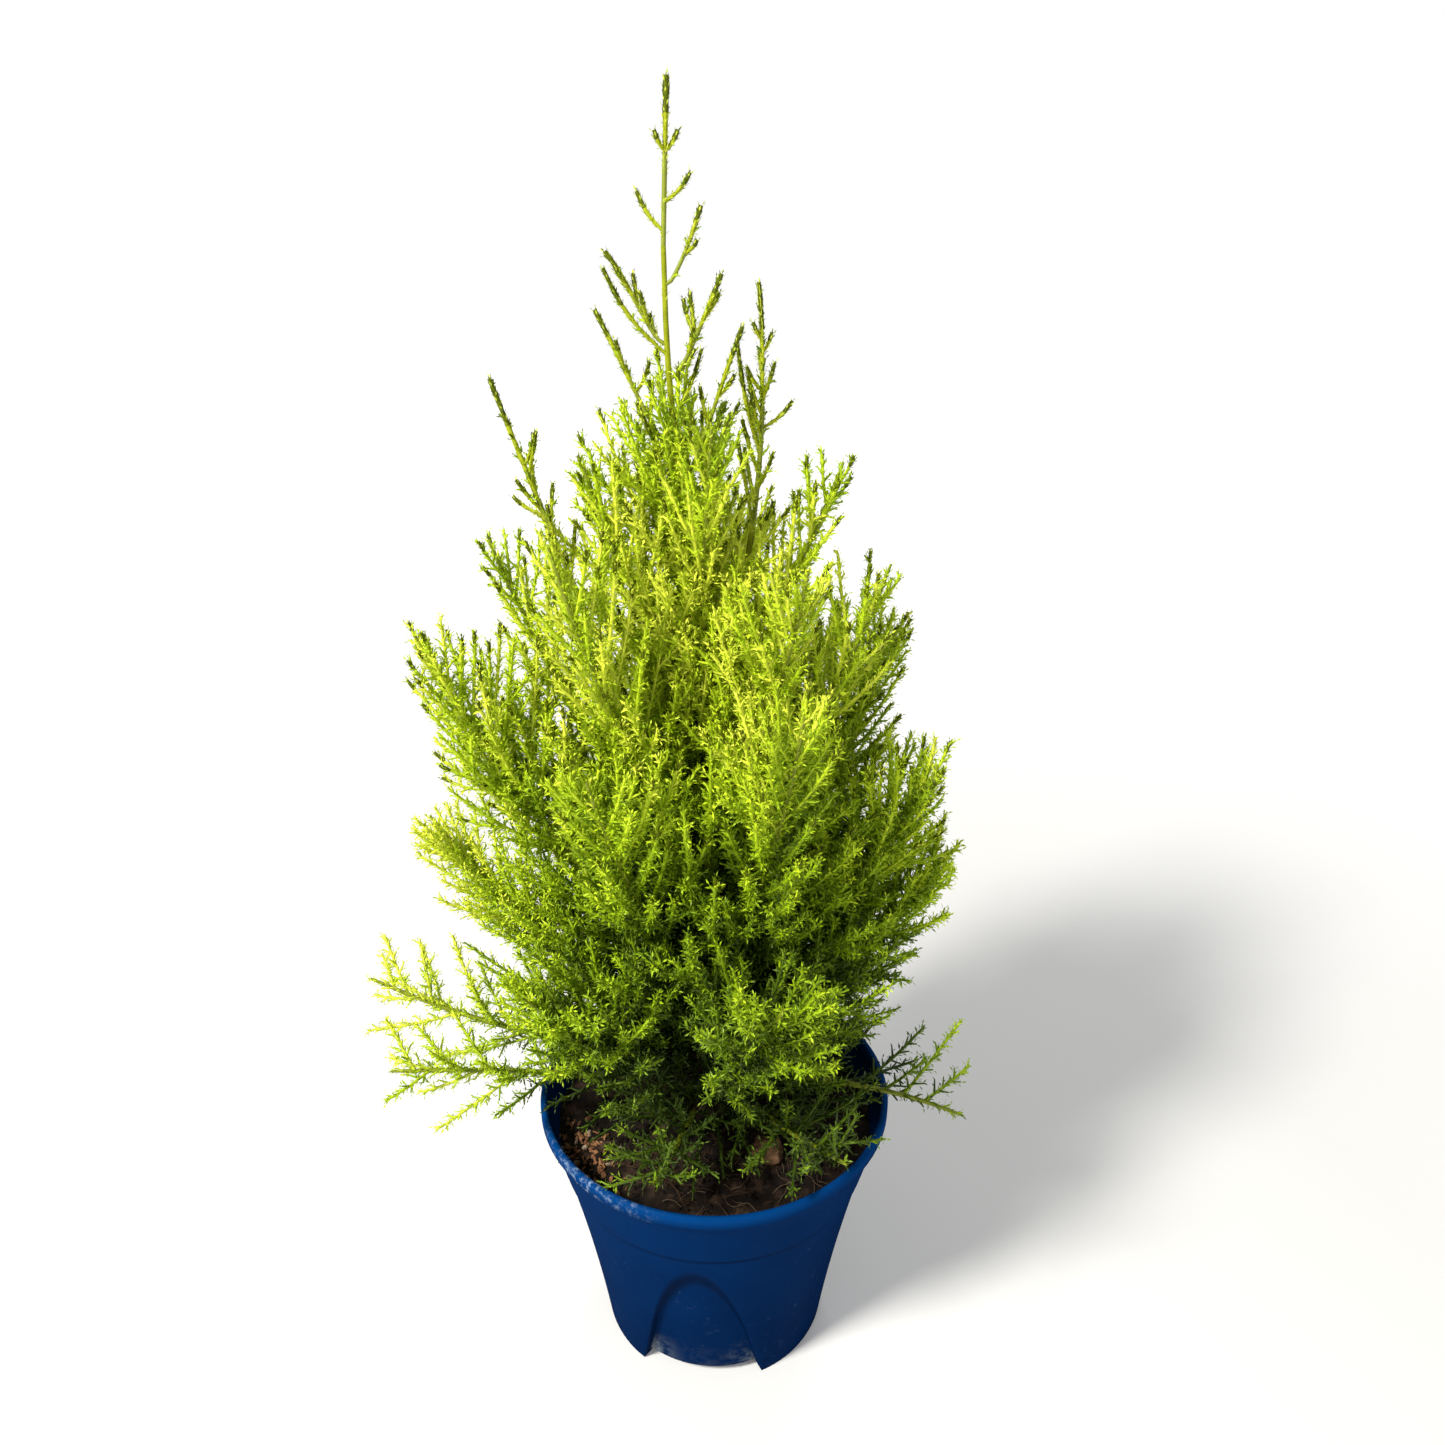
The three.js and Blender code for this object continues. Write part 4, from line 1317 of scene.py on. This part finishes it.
# Lines of growth
def trunk_line():
    """The same smooth line as the frame's trunk: a centripetal spline through its points."""
    points = [np.array(p, float) for p in TRUNK_POINTS]
    points = [2 * points[0] - points[1], *points, 2 * points[-1] - points[-2]]
    line = []
    for i in range(1, len(points) - 2):
        before, here, after, beyond = points[i - 1 : i + 3]
        gaps = [np.linalg.norm(b - a) ** 0.5 for a, b in ((before, here), (here, after), (after, beyond))]
        leave = (here - before) / gaps[0] - (after - before) / (gaps[0] + gaps[1]) + (after - here) / gaps[1]
        arrive = (after - here) / gaps[1] - (beyond - here) / (gaps[1] + gaps[2]) + (beyond - after) / gaps[2]
        leave, arrive = leave * gaps[1], arrive * gaps[1]
        for step in range(SPLINE_STEPS):
            t = step / SPLINE_STEPS
            square = -3 * here + 3 * after - 2 * leave - arrive
            cube = 2 * here - 2 * after + leave + arrive
            line.append(here + leave * t + square * t**2 + cube * t**3)
    line.append(points[-2])
    return Line(line)


TRUNK = trunk_line()


def trunk_radius(share):
    height = share * (TRUNK_TOP - SOIL_TOP)
    taper = TRUNK_TOP_RADIUS + (TRUNK_RADIUS - TRUNK_TOP_RADIUS) * (1 - share)
    return taper + ROOT_FLARE * math.exp(-height / ROOT_FLARE_HEIGHT)


def bark_radius(share):
    """The trunk as drawn, a little slimmer than in the frame halfway up."""
    slimmer = (1 - share) - (1 - share) ** 1.4
    return trunk_radius(share) - (TRUNK_RADIUS - TRUNK_TOP_RADIUS) * slimmer


def trunk_share_at(height):
    heights = TRUNK.points[:, 2]
    return float(np.interp(height, heights, TRUNK.sums)) / TRUNK.length


def growth_line(row):
    """The line of a bough and its mass, out from the trunk first and then up to its tip."""
    compass, foot, reach, tip_height, slope = row
    share = trunk_share_at(foot)
    axis = TRUNK.at(share)
    angle = math.radians(compass)
    tip = np.array([reach * math.cos(angle), reach * math.sin(angle), tip_height])
    flat = (tip - axis) * np.array([1, 1, 0])
    wide = np.linalg.norm(flat)
    out = flat / wide
    start = axis + out * (trunk_radius(share) + FOOT_GAP)
    leave = start + out * LEAVE_OUT * wide + UP * LEAVE_UP * (tip_height - foot)
    tip_way = out * math.cos(math.radians(slope)) + UP * math.sin(math.radians(slope))
    arrive = tip - tip_way * ARRIVE * np.linalg.norm(tip - start)
    corners = [start, leave, arrive, tip]
    return Line([bezier_point(corners, i / LINE_STEPS) for i in range(LINE_STEPS + 1)]), out


def all_growth():
    made = []
    seed = FIRST_SEED
    for kind, rows in GROWTH.items():
        for number, row in enumerate(rows, 1):
            seed += SEED_GAP
            line, out = growth_line(row)
            radius = BOUGH_RADIUS - BOUGH_RADIUS_LOSS * (row[1] - SOIL_TOP)
            reach = [from_axis(corner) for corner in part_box(f"{kind}_mass_{number}")]
            start = ENTRY.get(kind, 0)
            side = np.cross(UP, out)
            name = f"{kind}_{number}"
            made.append(Growth(name, kind, line, radius, side, out, start, seed, reach, row[2]))
    return made


# Light and tones
def from_trunk(place):
    """How far a place is from the trunk, on the level."""
    centre = TRUNK.at(trunk_share_at(place[2]))
    return math.hypot(place[0] - centre[0], place[1] - centre[1])


def crown_radius(height):
    return np.interp(height, *zip(*CROWN))


def painted_sunlight(place):
    """How sunlit a place in the crown is, from 0 to 1, painted into its tone: lighter high up, far out, to
    the left and at the sides, with painted shade inside the crown, under it and at the front low down, and
    darker over its top.
    """
    height = np.clip((place[2] - LIGHT_FOOT) / LIGHT_RISE, 0, 1)
    out = np.clip(from_trunk(place) / crown_radius(place[2]), 0, 1.1)
    shade = PAINTED_LIGHT["inside"] * (1 - 1.2 * height) * (1 - out**2)
    low = np.clip((SHADE_UNDER["below"] - place[2]) / SHADE_UNDER["depth"], 0, 1)
    near = np.clip((SHADE_UNDER["within"] - math.hypot(place[0], place[1])) / SHADE_UNDER["width"], 0, 1)
    under = low * near
    over = np.clip((place[2] - OVER["from"]) / OVER["height"], 0, 1)
    rim = PAINTED_LIGHT["rim"] * height * (1 - height) * ((place[0] / 100) ** 2 - 0.3)
    aside = PAINTED_LIGHT["behind"] * (1 - height) * place[1] / 120 - (0.1 - 0.08 * height) * place[0] / 130
    direct = PAINTED_LIGHT["plain"] + PAINTED_LIGHT["high"] * height**2.2
    return direct - shade - PAINTED_LIGHT["under"] * under - PAINTED_LIGHT["over"] * over + rim + aside


# The lighter or darker copy of the green that a painted light picks
def tone_of(light):
    chosen = "deep"
    for name, (_, start, _) in TONES.items():
        if light >= start:
            chosen = name
    return chosen


# Shoots and twigs
def even_strand(points, radius, tone, needle, lean):
    """A strand that is the same all along."""
    count = len(points)
    return Strand(points, [radius] * count, tone, [needle] * count, [lean] * count)


def bent(root, way, length, draw, steps, lift, wander):
    """Points of a shoot that leaves one way and bends towards the light."""
    points = [root]
    for _ in range(steps):
        shift = np.array([draw(-wander, wander), draw(-wander, wander), draw(-wander, wander)])
        way = unit(way + UP * lift / steps + shift)
        points.append(points[-1] + way * length / steps)
    return points


def outward_at(line, share, hint, turn):
    way = line.way(share)
    return way, turned_round(across(way, hint), way, turn)


def in_pot_wall(point):
    """Whether a point would lie in the pot's lip or wall, or under the soil."""
    far = math.hypot(point[0], point[1])
    if point[2] > POT_HEIGHT + RIM_CLEARANCE:
        return False
    if far < SOIL_RADIUS - 1:
        return point[2] < SOIL_TOP + SOIL_CLEARANCE
    return far < LIP_RADIUS + RIM_CLEARANCE


def add_twigs(strands, line, rule, seed, stretch, longest, lift):
    """Short twigs all round a shoot, shorter towards its tip, each set with needles."""
    draw = draws(seed)
    turn = draw(0, FULL_TURN)
    low, high = stretch
    count = int((high - low) * line.length / rule.pitch)
    hint = np.array([draw(-1, 1), draw(-1, 1), draw(-0.3, 0.3)])
    for i in range(count):
        share = low + (high - low) * (i + draw(0.2, 0.8)) / count
        turn += GOLDEN_ANGLE
        way, outward = outward_at(line, share, hint, turn)
        angle = math.radians(blend(*TWIG_ANGLES, share) * draw(*TWIG_ANGLE_SPREAD))
        leave = unit(way * math.cos(angle) + outward * math.sin(angle) + UP * TWIG_LIFT)
        full = math.sin(min(1, TWIG_SWELL + share / TWIG_SWELL) * math.pi / 2)
        length = longest * full * (1 - TWIG_LOSS * share) * draw(*TWIG_LENGTH_SPREAD)
        root = line.at(share)
        points = [root, root + leave * max(length, SHORTEST_TWIG)]
        if in_pot_wall(points[-1]):
            continue
        chance = draw(-TWIG_LIGHT_SPREAD, TWIG_LIGHT_SPREAD)
        # painted light: the twig takes the lit or shaded tone of the place at its tip
        lit = painted_sunlight(points[-1]) + lift + rule.gain * (share - 0.5) + chance
        needles = [rule.needle * draw(0.95, 1.1), rule.needle * 0.8]
        leans = [rule.lean * 1.05, rule.lean * 0.75]
        strands.append(Strand(points, TWIG_RADII, tone_of(lit), needles, leans))


def add_shoot(strands, points, rule, seed, radius, lift, twigless=0.06):
    """A shoot with its own needles and twigs, and a blunt tip, dark and scaly high on the crown."""
    line = Line(points)
    if points[-1][2] > DARK_TIPS_FROM and seed % 3:
        end = line.run(1 - DARK_TIP / line.length, 1, len(DARK_TIP_RADII))
        strands.append(Strand(end, DARK_TIP_RADII, "tip", DARK_TIP_NEEDLES, DARK_TIP_LEANS))
    count = len(points)
    radii = faded(radius, SHOOT_TIP_RADIUS, count)
    radii[-1] = BLUNT
    needles = [rule.needle * part for part in faded(*SHOOT_NEEDLES, count)]
    leans = [rule.lean * part for part in faded(*SHOOT_LEANS, count)]
    # painted light: the shoot takes the lit or shaded tone of a place along it
    tone = tone_of(painted_sunlight(line.at(0.6)) + lift + STEM_GAIN)
    strands.append(Strand(points, radii, tone, needles, leans))
    longest = min(rule.twig, 0.22 * line.length + 3)
    add_twigs(strands, line, rule, seed + 1, (twigless, 0.97), longest, lift)


def add_scaly(strands, points, thin, full, pale=0.64):
    """A young twig: thin with pale leaves for a share of its length, then thicker, dark, scaly and blunt."""
    count = len(points)
    split = round((count - 1) * pale)
    radii = [blend(thin, full, min(1, i / (SCALY_FULL_FROM * (count - 1)))) for i in range(count)]
    radii = [radius * SCALY_SWELLS[i % 2] for i, radius in enumerate(radii)]
    radii[-1] = 0.8 * full
    leans = faded(*SCALY_LEANS, count)
    foot, end = slice(0, split + 1), slice(split, count)
    inner = [SCALY_CORE * radius for radius in radii]
    for tone, part, thick in (("olive", foot, radii), ("tip", end, radii), ("speck", slice(count), inner)):
        needles = [SCALY_NEEDLES[tone]] * len(points[part])
        strands.append(Strand(points[part], thick[part], tone, needles, leans[part]))


def add_spray(sprays, path, rule, seed, lift):
    """A shoot, with side shoots where it is long enough to bear them."""
    line = Line(path)
    if rule in SCALY_RULES:
        add_scaly(sprays, path, 0.8, 1.1)
        add_twigs(sprays, line, rule, seed + 1, (0.2, 0.85), rule.twig, lift)
        return
    add_shoot(sprays, path, rule, seed, SHOOT_RADIUS, lift)
    if line.length < SIDE_SHOOTS["from"]:
        return
    draw = draws(seed + 5)
    count = int(line.length / SIDE_SHOOTS["pitch"])
    turn = draw(0, FULL_TURN)
    for i in range(count):
        share = SIDE_SHOOTS["foot"] + SIDE_SHOOTS["stretch"] * (i + draw(0.2, 0.8)) / count
        turn += GOLDEN_ANGLE
        way, outward = outward_at(line, share, UP, turn)
        leave = unit(way * 0.8 + outward * 0.6 + UP * 0.1)
        length = SIDE_SHOOTS["length"] * (1 - 0.5 * share) * draw(0.8, 1.2)
        side = bent(line.at(share), leave, length, draw, **SIDE_BEND)
        if not any(in_pot_wall(place) for place in side):
            add_shoot(sprays, side, rule, seed + 11 * i + 6, THIN_SHOOT_RADIUS, lift)


def room_round(path, taken):
    """Distance from the outer part of a path to the nearest shoot so far."""
    if not taken:
        return math.inf
    others = np.array(taken)
    ends = (path[-1], path[len(path) // 2])
    return min(np.min(np.linalg.norm(others - end, axis=1)) for end in ends)


def grow_shoots(sprays, stem, rule, count, stretch, allowed, taken, seed, ways):
    """Shoots along a stem by golden angle, each the one of a few tries that has most room."""
    draw = draws(seed)
    turn = draw(0, FULL_TURN)
    side, out = ways
    low, high = stretch
    for index in range(count):
        share = (index + draw(0.3, 0.7)) / count
        place = low + (high - low) * share
        even = blend(rule.lowest, rule.highest, share)
        best, most = None, 0
        for attempt in range(TRIES):
            turn += GOLDEN_ANGLE
            way, outward = outward_at(stem, place, side, turn)
            inward = max(0, -np.dot(outward, out))
            length = even * draw(1 - LENGTH_SPREAD, 1 + LENGTH_SPREAD) * (1 + INWARD_GAIN * inward)
            length *= LONG_TRY if attempt % 2 else 1
            angle = math.radians(rule.angle) * draw(*ANGLE_SPREAD)
            leave = unit(way * math.cos(angle) + outward * math.sin(angle) + UP * rule.pull)
            lift = LIFT_PER_PULL * rule.pull
            path = bent(stem.at(place), leave, length, draw, lift=lift, **SHOOT_BEND)
            if not allowed(path[-1]) or any(in_pot_wall(point) for point in path):
                continue
            room = room_round(path, taken)
            if room > most:
                best, most = path, room
        if best:
            taken.extend([best[-1], best[len(best) // 2]])
            light = draw(-LIGHT_SPREAD, LIGHT_SPREAD)
            add_spray(sprays, best, rule, seed * 31 + index * 7, light)


# Parts of the crown
def grow_mass(shoots, sprays, growth, taken):
    """The stem of a mass with its side shoots and their twigs."""
    rule = RULE[growth.kind]
    scaly = growth.kind in SCALY
    draw = draws(growth.seed)
    line, start = growth.line, growth.start
    entry = growth.radius * (1 - BOUGH_TAPER) if start else growth.radius
    entry = min(entry, THICKEST.get(growth.kind, entry))
    points = line.run(start, 1, STEM_STEPS)
    if not start:
        points[0] = points[0] - growth.out * (FOOT_GAP + 1)
    radii = faded(entry, STEM_TIP_RADIUS, STEM_STEPS)
    radii[-1] = BLUNT
    needles = [rule.needle * 0.8] * STEM_STEPS
    leans = [rule.lean * part for part in faded(0.8, 0.6, STEM_STEPS)]
    lift = draw(-0.1, 0.1)
    if scaly:
        bare = slice(SCALY_STEM["bare"])
        first = SCALY_STEM["scaly"]
        shoots.append(Strand(points[bare], radii[bare], "bare", needles[bare], leans[bare]))
        add_scaly(sprays, points[first:], radii[first], SCALY_STEM["radius"], SCALY_STEM["pale"])
    else:
        # painted light: the stem takes the lit or shaded tone read at one of its steps
        tone = tone_of(painted_sunlight(points[STEM_LIT_AT]) + lift)
        shoots.append(Strand(points, radii, tone, needles, leans))
    stem = Line(points)
    add_twigs(sprays, stem, rule, growth.seed + 3, (0.1, 0.985), rule.twig * 1.2, lift)

    def allowed(place):
        """Whether a place lies in the reach of the frame's own mass, clear of the soil."""
        low, high = growth.reach
        inside = np.all(place > low - REACH_MARGIN) and np.all(place < high + REACH_MARGIN)
        near = math.hypot(place[0], place[1]) < growth.far + REACH_MARGIN
        return inside and near and place[2] > LOWEST_TIP

    count = round(rule.shoots * FULLNESS.get(growth.name, 1))
    ways = (growth.side, growth.out)
    stretch = SCALY_STRETCH if scaly else SHOOT_STRETCH
    grow_shoots(sprays, stem, rule, count, stretch, allowed, taken, growth.seed, ways)


def within_crown(place):
    return place[2] > LOWEST_TIP and from_trunk(place) < CROWN_SHARE * crown_radius(place[2])


def grow_between(sprays, growths, taken):
    """Shoots on the boughs and the trunk, that fill the crown's middle."""
    for growth in growths:
        count = BOUGH_SHOOTS.get(growth.kind)
        if count:
            bough = Line(growth.line.run(0, growth.start, 12))
            seed = growth.seed + 50
            ways = (UP, -growth.out)
            rule = RULE[growth.kind]
            grow_shoots(sprays, bough, rule, count, BOUGH_STRETCH, within_crown, taken, seed, ways)
    for number, (foot, top, count, lowest, highest, angle) in enumerate(TRUNK_SHOOTS):
        stretch = (trunk_share_at(foot), trunk_share_at(top))
        rule = RULE["low"]._replace(lowest=lowest, highest=highest, angle=angle)
        seed = seed_of("trunk", number)
        grow_shoots(sprays, TRUNK, rule, count, stretch, within_crown, taken, seed, (EAST, EAST))


def grow_gap_shoots(sprays):
    """A few shoots where the shares of the masses leave a gap."""
    for number, row in enumerate(GAP_SHOOTS):
        points = growth_line(row)[0].run(0, 1, 14)
        add_spray(sprays, points, RULE["middle"], seed_of("gap shoot", number), 0)


def grow_core(sprays):
    """Shoots close round the trunk, darker partly for their own duller inner green and partly as painted
    shade, that hide it and close the view through the crown.
    """
    for number, (foot, top, count, longest, shortest, angle) in enumerate(CORE_SHOOTS):
        draw = draws(seed_of("core", number))
        turn = draw(0, FULL_TURN)
        low, high = trunk_share_at(foot), trunk_share_at(top)
        for index in range(count):
            share = (index + draw()) / count
            turn += GOLDEN_ANGLE
            place = blend(low, high, share)
            way, outward = outward_at(TRUNK, place, EAST, turn)
            lean = math.radians(angle) * draw(0.7, 1.2)
            length = blend(longest, shortest, share) * draw(0.7, 1.1)
            leave = unit(way * math.cos(lean) + outward * math.sin(lean))
            path = bent(TRUNK.at(place), leave, length, draw, **CORE_BEND)
            if not any(in_pot_wall(point) for point in path):
                seed = SEEDS["core shoot"] + 17 * index + 3000 * number
                add_shoot(sprays, path, CORE_RULE, seed, THIN_SHOOT_RADIUS, CORE_LIGHT)


def grow_hanging(sprays):
    """Weak shoots at the foot of the plant that hang over the soil."""
    for number, row in enumerate(HANGING):
        draw = draws(seed_of("hanging", number))
        points = growth_line(row)[0].run(0, 1, 14)
        seed = seed_of("hanging shoot", number)
        add_shoot(sprays, points, HANGING_RULE, seed, THIN_SHOOT_RADIUS, draw(-0.2, 0), 0.3)


def grow_leader(shoots, sprays, growths):
    """The upper trunk and its tip with their scale leaves, and the fine twigs of leader and spires."""
    below = TRUNK.run(trunk_share_at(BARE_TRUNK_TOP), 1, 20)
    shares = np.linspace(0, 1, LEADER_STEPS["all"])
    above = [blend(TRUNK.at(1), np.array(LEADER_TIP), share) for share in shares]
    shoots.append(even_strand(above[: LEADER_STEPS["bare"]], 1.0, "bare", 0, 0))
    add_scaly(sprays, above[LEADER_STEPS["scaly"] :], 0.85, 1.45, 0.5)
    axis = Line(below + above[1:])
    for low, high in LEADER_WHORLS:
        shares = [(axis.sums[-1] - (LEADER_TIP[2] - height)) / axis.length for height in (low, high)]
        sprays.append(even_strand(axis.run(*shares, 4), 0.9, "speck", 2.6, 42))
    lines = {growth.name: growth.line for growth in growths}
    lines["trunk"] = axis
    for number, (name, height, far) in enumerate(FINE_TWIGS):
        draw = draws(seed_of("fine twig", number))
        line = lines[name]
        root = line.at(np.interp(height, line.points[:, 2], line.sums) / line.length)
        far = np.array(far, float)
        bow = np.array([far[0], far[1], -0.5 * far[2]]) * 0.1
        shares = np.linspace(0, 1, FINE_TWIG_STEPS)
        path = [root + far * share + bow * math.sin(math.pi * share) for share in shares]
        add_scaly(sprays, path, 0.8, draw(1.05, 1.2))
        if np.linalg.norm(far) > LONG_FINE_TWIG:
            seed = FINE_NEEDLE_SEED + number
            add_twigs(sprays, Line(path), RULE["tip"], seed, (0.3, 0.8), 4, draw(-0.2, 0))


def grow_plant(growths):
    """Strands of the thicker stems, and strands of all finer shoots and twigs."""
    shoots, sprays, taken = [], [], []
    for growth in growths:
        grow_mass(shoots, sprays, growth, taken)
    grow_between(sprays, growths, taken)
    grow_gap_shoots(sprays)
    grow_core(sprays)
    grow_hanging(sprays)
    grow_leader(shoots, sprays, growths)
    return shoots, sprays


# Meshes of the plant
def guide_mesh(name, strands):
    """Lines of edges for the trees, with thickness, needle size and lean at each point."""
    vertices, edges = [], []
    values = {"thick": [], "needle": [], "lean": []}
    for strand in strands:
        start = len(vertices)
        vertices.extend(placed(strand.points))
        edges.extend((start + i, start + i + 1) for i in range(len(strand.points) - 1))
        values["thick"].extend(radius * MM for radius in strand.radii)
        values["needle"].extend(size * MM for size in strand.needle)
        values["lean"].extend(math.radians(angle) for angle in strand.lean)
    mesh = bpy.data.meshes.new(name)
    mesh.from_pydata([tuple(v) for v in vertices], edges, [])
    for label, numbers in values.items():
        mesh.attributes.new(label, "FLOAT", "POINT").data.foreach_set("value", numbers)
    return mesh


def needle_shape():
    """A lance-shaped leaf one unit long, folded along its keel, widest in the middle and pointed."""
    vertices = [
        (0, -NEEDLE_KEEL, 0),
        (NEEDLE_HALF, 0, NEEDLE_WIDEST),
        (0, -NEEDLE_KEEL, 1),
        (-NEEDLE_HALF, 0, NEEDLE_WIDEST),
    ]
    mesh = bpy.data.meshes.new("needle_shape")
    mesh.from_pydata(vertices, [], [(0, 1, 2), (0, 2, 3)])
    return bpy.data.objects.new("needle_shape", mesh)


def strand_length(strand):
    return float(np.linalg.norm(np.diff(np.array(strand.points), axis=0), axis=1).sum())


def build_needles(strands, materials):
    """Every needle, as joined meshes by tone, each tone split so that no piece holds much more than the most
    needles set for a piece. Every needle, as joined meshes by tone, each below the limit on triangles.
    """
    tree = needle_tree()
    shape = needle_shape()
    pieces = []
    for tone, (_, _, spacing) in TONES.items():
        ours = [strand for strand in strands if strand.tone == tone]
        total = sum(strand_length(strand) / spacing + 1 for strand in ours)
        parts = max(1, math.ceil(total / NEEDLE_PIECE_LIMIT))
        for part in range(parts):
            name = f"needles_{tone}" if parts == 1 else f"needles_{tone}_{part + 1}"
            source = guide_mesh(name + "_guide", ours[part::parts])
            values = {
                "Needle": shape,
                "Spacing": spacing * MM,
                "Seed": part + 3,
                "Material": materials[tone],
            }
            pieces.append(grown(name, source, tree, values))
    bpy.data.objects.remove(shape)
    return pieces


def build_foliage(shoots, sprays, tubes, mottle):
    """Stems, then twigs and needles, each tone apart."""
    materials = {tone: needle_material(tone, mottle) for tone in TONES}
    values = {"Sides": 7, "Material": young_stem_material(mottle)}
    pieces = [grown("stems", guide_mesh("stem_lines", shoots), tubes, values)]
    for tone in TONES:
        ours = [strand for strand in sprays if strand.tone == tone]
        values = {"Sides": 3, "Material": materials[tone]}
        pieces.append(grown("twigs_" + tone, guide_mesh("twig_lines", ours), tubes, values))
    return pieces + build_needles(shoots + sprays, materials)


def bark_relief(angle, along, radius):
    """Flat ridges that run up the trunk and wander a little."""
    place = Vector((math.cos(angle) * 2.2, math.sin(angle) * 2.2, along * 0.035))
    ridge = noise.fractal(place, 0.7, 2.0, 4)
    flake = noise.noise(Vector((math.cos(angle) * 5, math.sin(angle) * 5, along * 0.16)))
    return radius * (0.085 * ridge + 0.05 * flake)


def build_trunk(material):
    shares = [(i / TRUNK_STEPS) ** 1.15 for i in range(TRUNK_STEPS + 1)]
    points = [TRUNK.at(share) for share in shares]
    points[0][2] = TRUNK_FOOT - SUNK
    vertices, faces = tube(points, [bark_radius(share) for share in shares], TRUNK_SIDES, bark_relief)
    return mesh_object("trunk_bark", placed(vertices), faces, material)


def build_boughs(growths, material):
    vertices, faces = [], []
    for growth in growths:
        if not growth.start:
            continue
        points = growth.line.run(0, growth.start + 0.02, BOUGH_STEPS)
        points[0] = points[0] - unit(points[1] - points[0]) * SUNK
        radii = [growth.radius * (1 - BOUGH_TAPER * i / (BOUGH_STEPS - 1)) for i in range(BOUGH_STEPS)]
        join(vertices, faces, *tube(points, radii, BOUGH_SIDES, bark_relief))
    return mesh_object("bough_bark", placed(vertices), faces, material)


# Studio
def flat_ground(x, y):
    return 0


def build_floor():
    """A round pale floor that glows faintly by the pot, a painted light that lightens the shadows on it, and
    more far out, so that it runs into the white round it.
    """
    vertices = [(0, 0, 0), *disc_points(FLOOR_RADIUS, FLOOR_RINGS, FLOOR_COLUMNS, flat_ground)]
    faces = [(0, 1 + column, 1 + (column + 1) % FLOOR_COLUMNS) for column in range(FLOOR_COLUMNS)]
    faces += [tuple(reversed(face)) for face in grid_faces(FLOOR_RINGS, FLOOR_COLUMNS, 1, closed=True)]
    mesh_object("floor", vertices, faces, floor_material())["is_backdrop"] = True


def build_lamps():
    target = Vector((POT_AXIS.x, POT_AXIS.y, LAMP_AIM))
    for name, place, size, power, colour in LAMPS:
        light = bpy.data.lights.new(name, "AREA")
        light.shape = "DISK"
        light.size = size
        light.energy = power
        light.color = colour
        lamp = new_object(name, light)
        lamp.location = place
        lamp.rotation_euler = (target - Vector(place)).to_track_quat("-Z", "Y").to_euler()


def build_world():
    """Soft white light, and full white where the camera sees past the floor."""
    world = bpy.data.worlds.new("studio")
    world.use_nodes = True
    tree = world.node_tree
    soft = tree.nodes["Background"]
    soft.inputs["Color"].default_value = WHITE
    soft.inputs["Strength"].default_value = WORLD_LIGHT
    seen = add_node(tree, "ShaderNodeBackground", {"Color": WHITE, "Strength": 1.0})
    by_camera = add_node(tree, "ShaderNodeLightPath", out="Is Camera Ray")
    both = add_node(tree, "ShaderNodeMixShader", {0: by_camera, 1: soft.outputs[0], 2: seen})
    feed(tree, tree.nodes["World Output"].inputs["Surface"], both)
    bpy.context.scene.world = world
    bpy.context.scene.view_settings.view_transform = "Standard"


def build_camera():
    camera = bpy.data.cameras.new("view")
    camera.sensor_width = SENSOR_WIDTH
    camera.lens = SENSOR_WIDTH * FOCAL_PIXELS / PHOTO_PIXELS
    camera.clip_start = 0.01
    stand = new_object("view", camera)
    stand.location = placed(CAMERA_PLACE)
    stand.rotation_euler = Euler((math.radians(90 - CAMERA_DOWN), 0, 0))
    bpy.context.scene.camera = stand


def main():
    build_camera()
    mottle = mottle_group()
    bark = bark_material(mottle)
    earth = {name: earth_material(name, mottle) for name in EARTH}
    tubes = tube_tree()
    growths = all_growth()
    shoots, sprays = grow_plant(growths)

    pot = build_pot(pot_material(mottle))
    soil = build_soil(earth["peat"])
    trunk = build_trunk(bark)
    boughs = build_boughs(growths, bark)
    stems, *leafy = build_foliage(shoots, sprays, tubes, mottle)
    litter = build_litter(earth, tubes)

    masses = sorted(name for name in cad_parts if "mass" in name or name == "leader_tip")
    limbs = sorted(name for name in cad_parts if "bough" in name)
    slots = {"pot": [pot], "soil": [soil, *litter], "bark": [trunk, boughs], "foliage": [stems, *leafy]}
    for slot, pieces in slots.items():
        for piece in pieces:
            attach(piece, "root")
    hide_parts("pot")
    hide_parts("soil")
    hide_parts("trunk")
    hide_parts(*limbs)
    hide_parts(*masses)
    build_floor()
    build_lamps()
    build_world()


main()


def corners(box):
    return [[float(value) for value in corner] for corner in box]


{"cad": corners(cad_box), "visual": corners(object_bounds())}
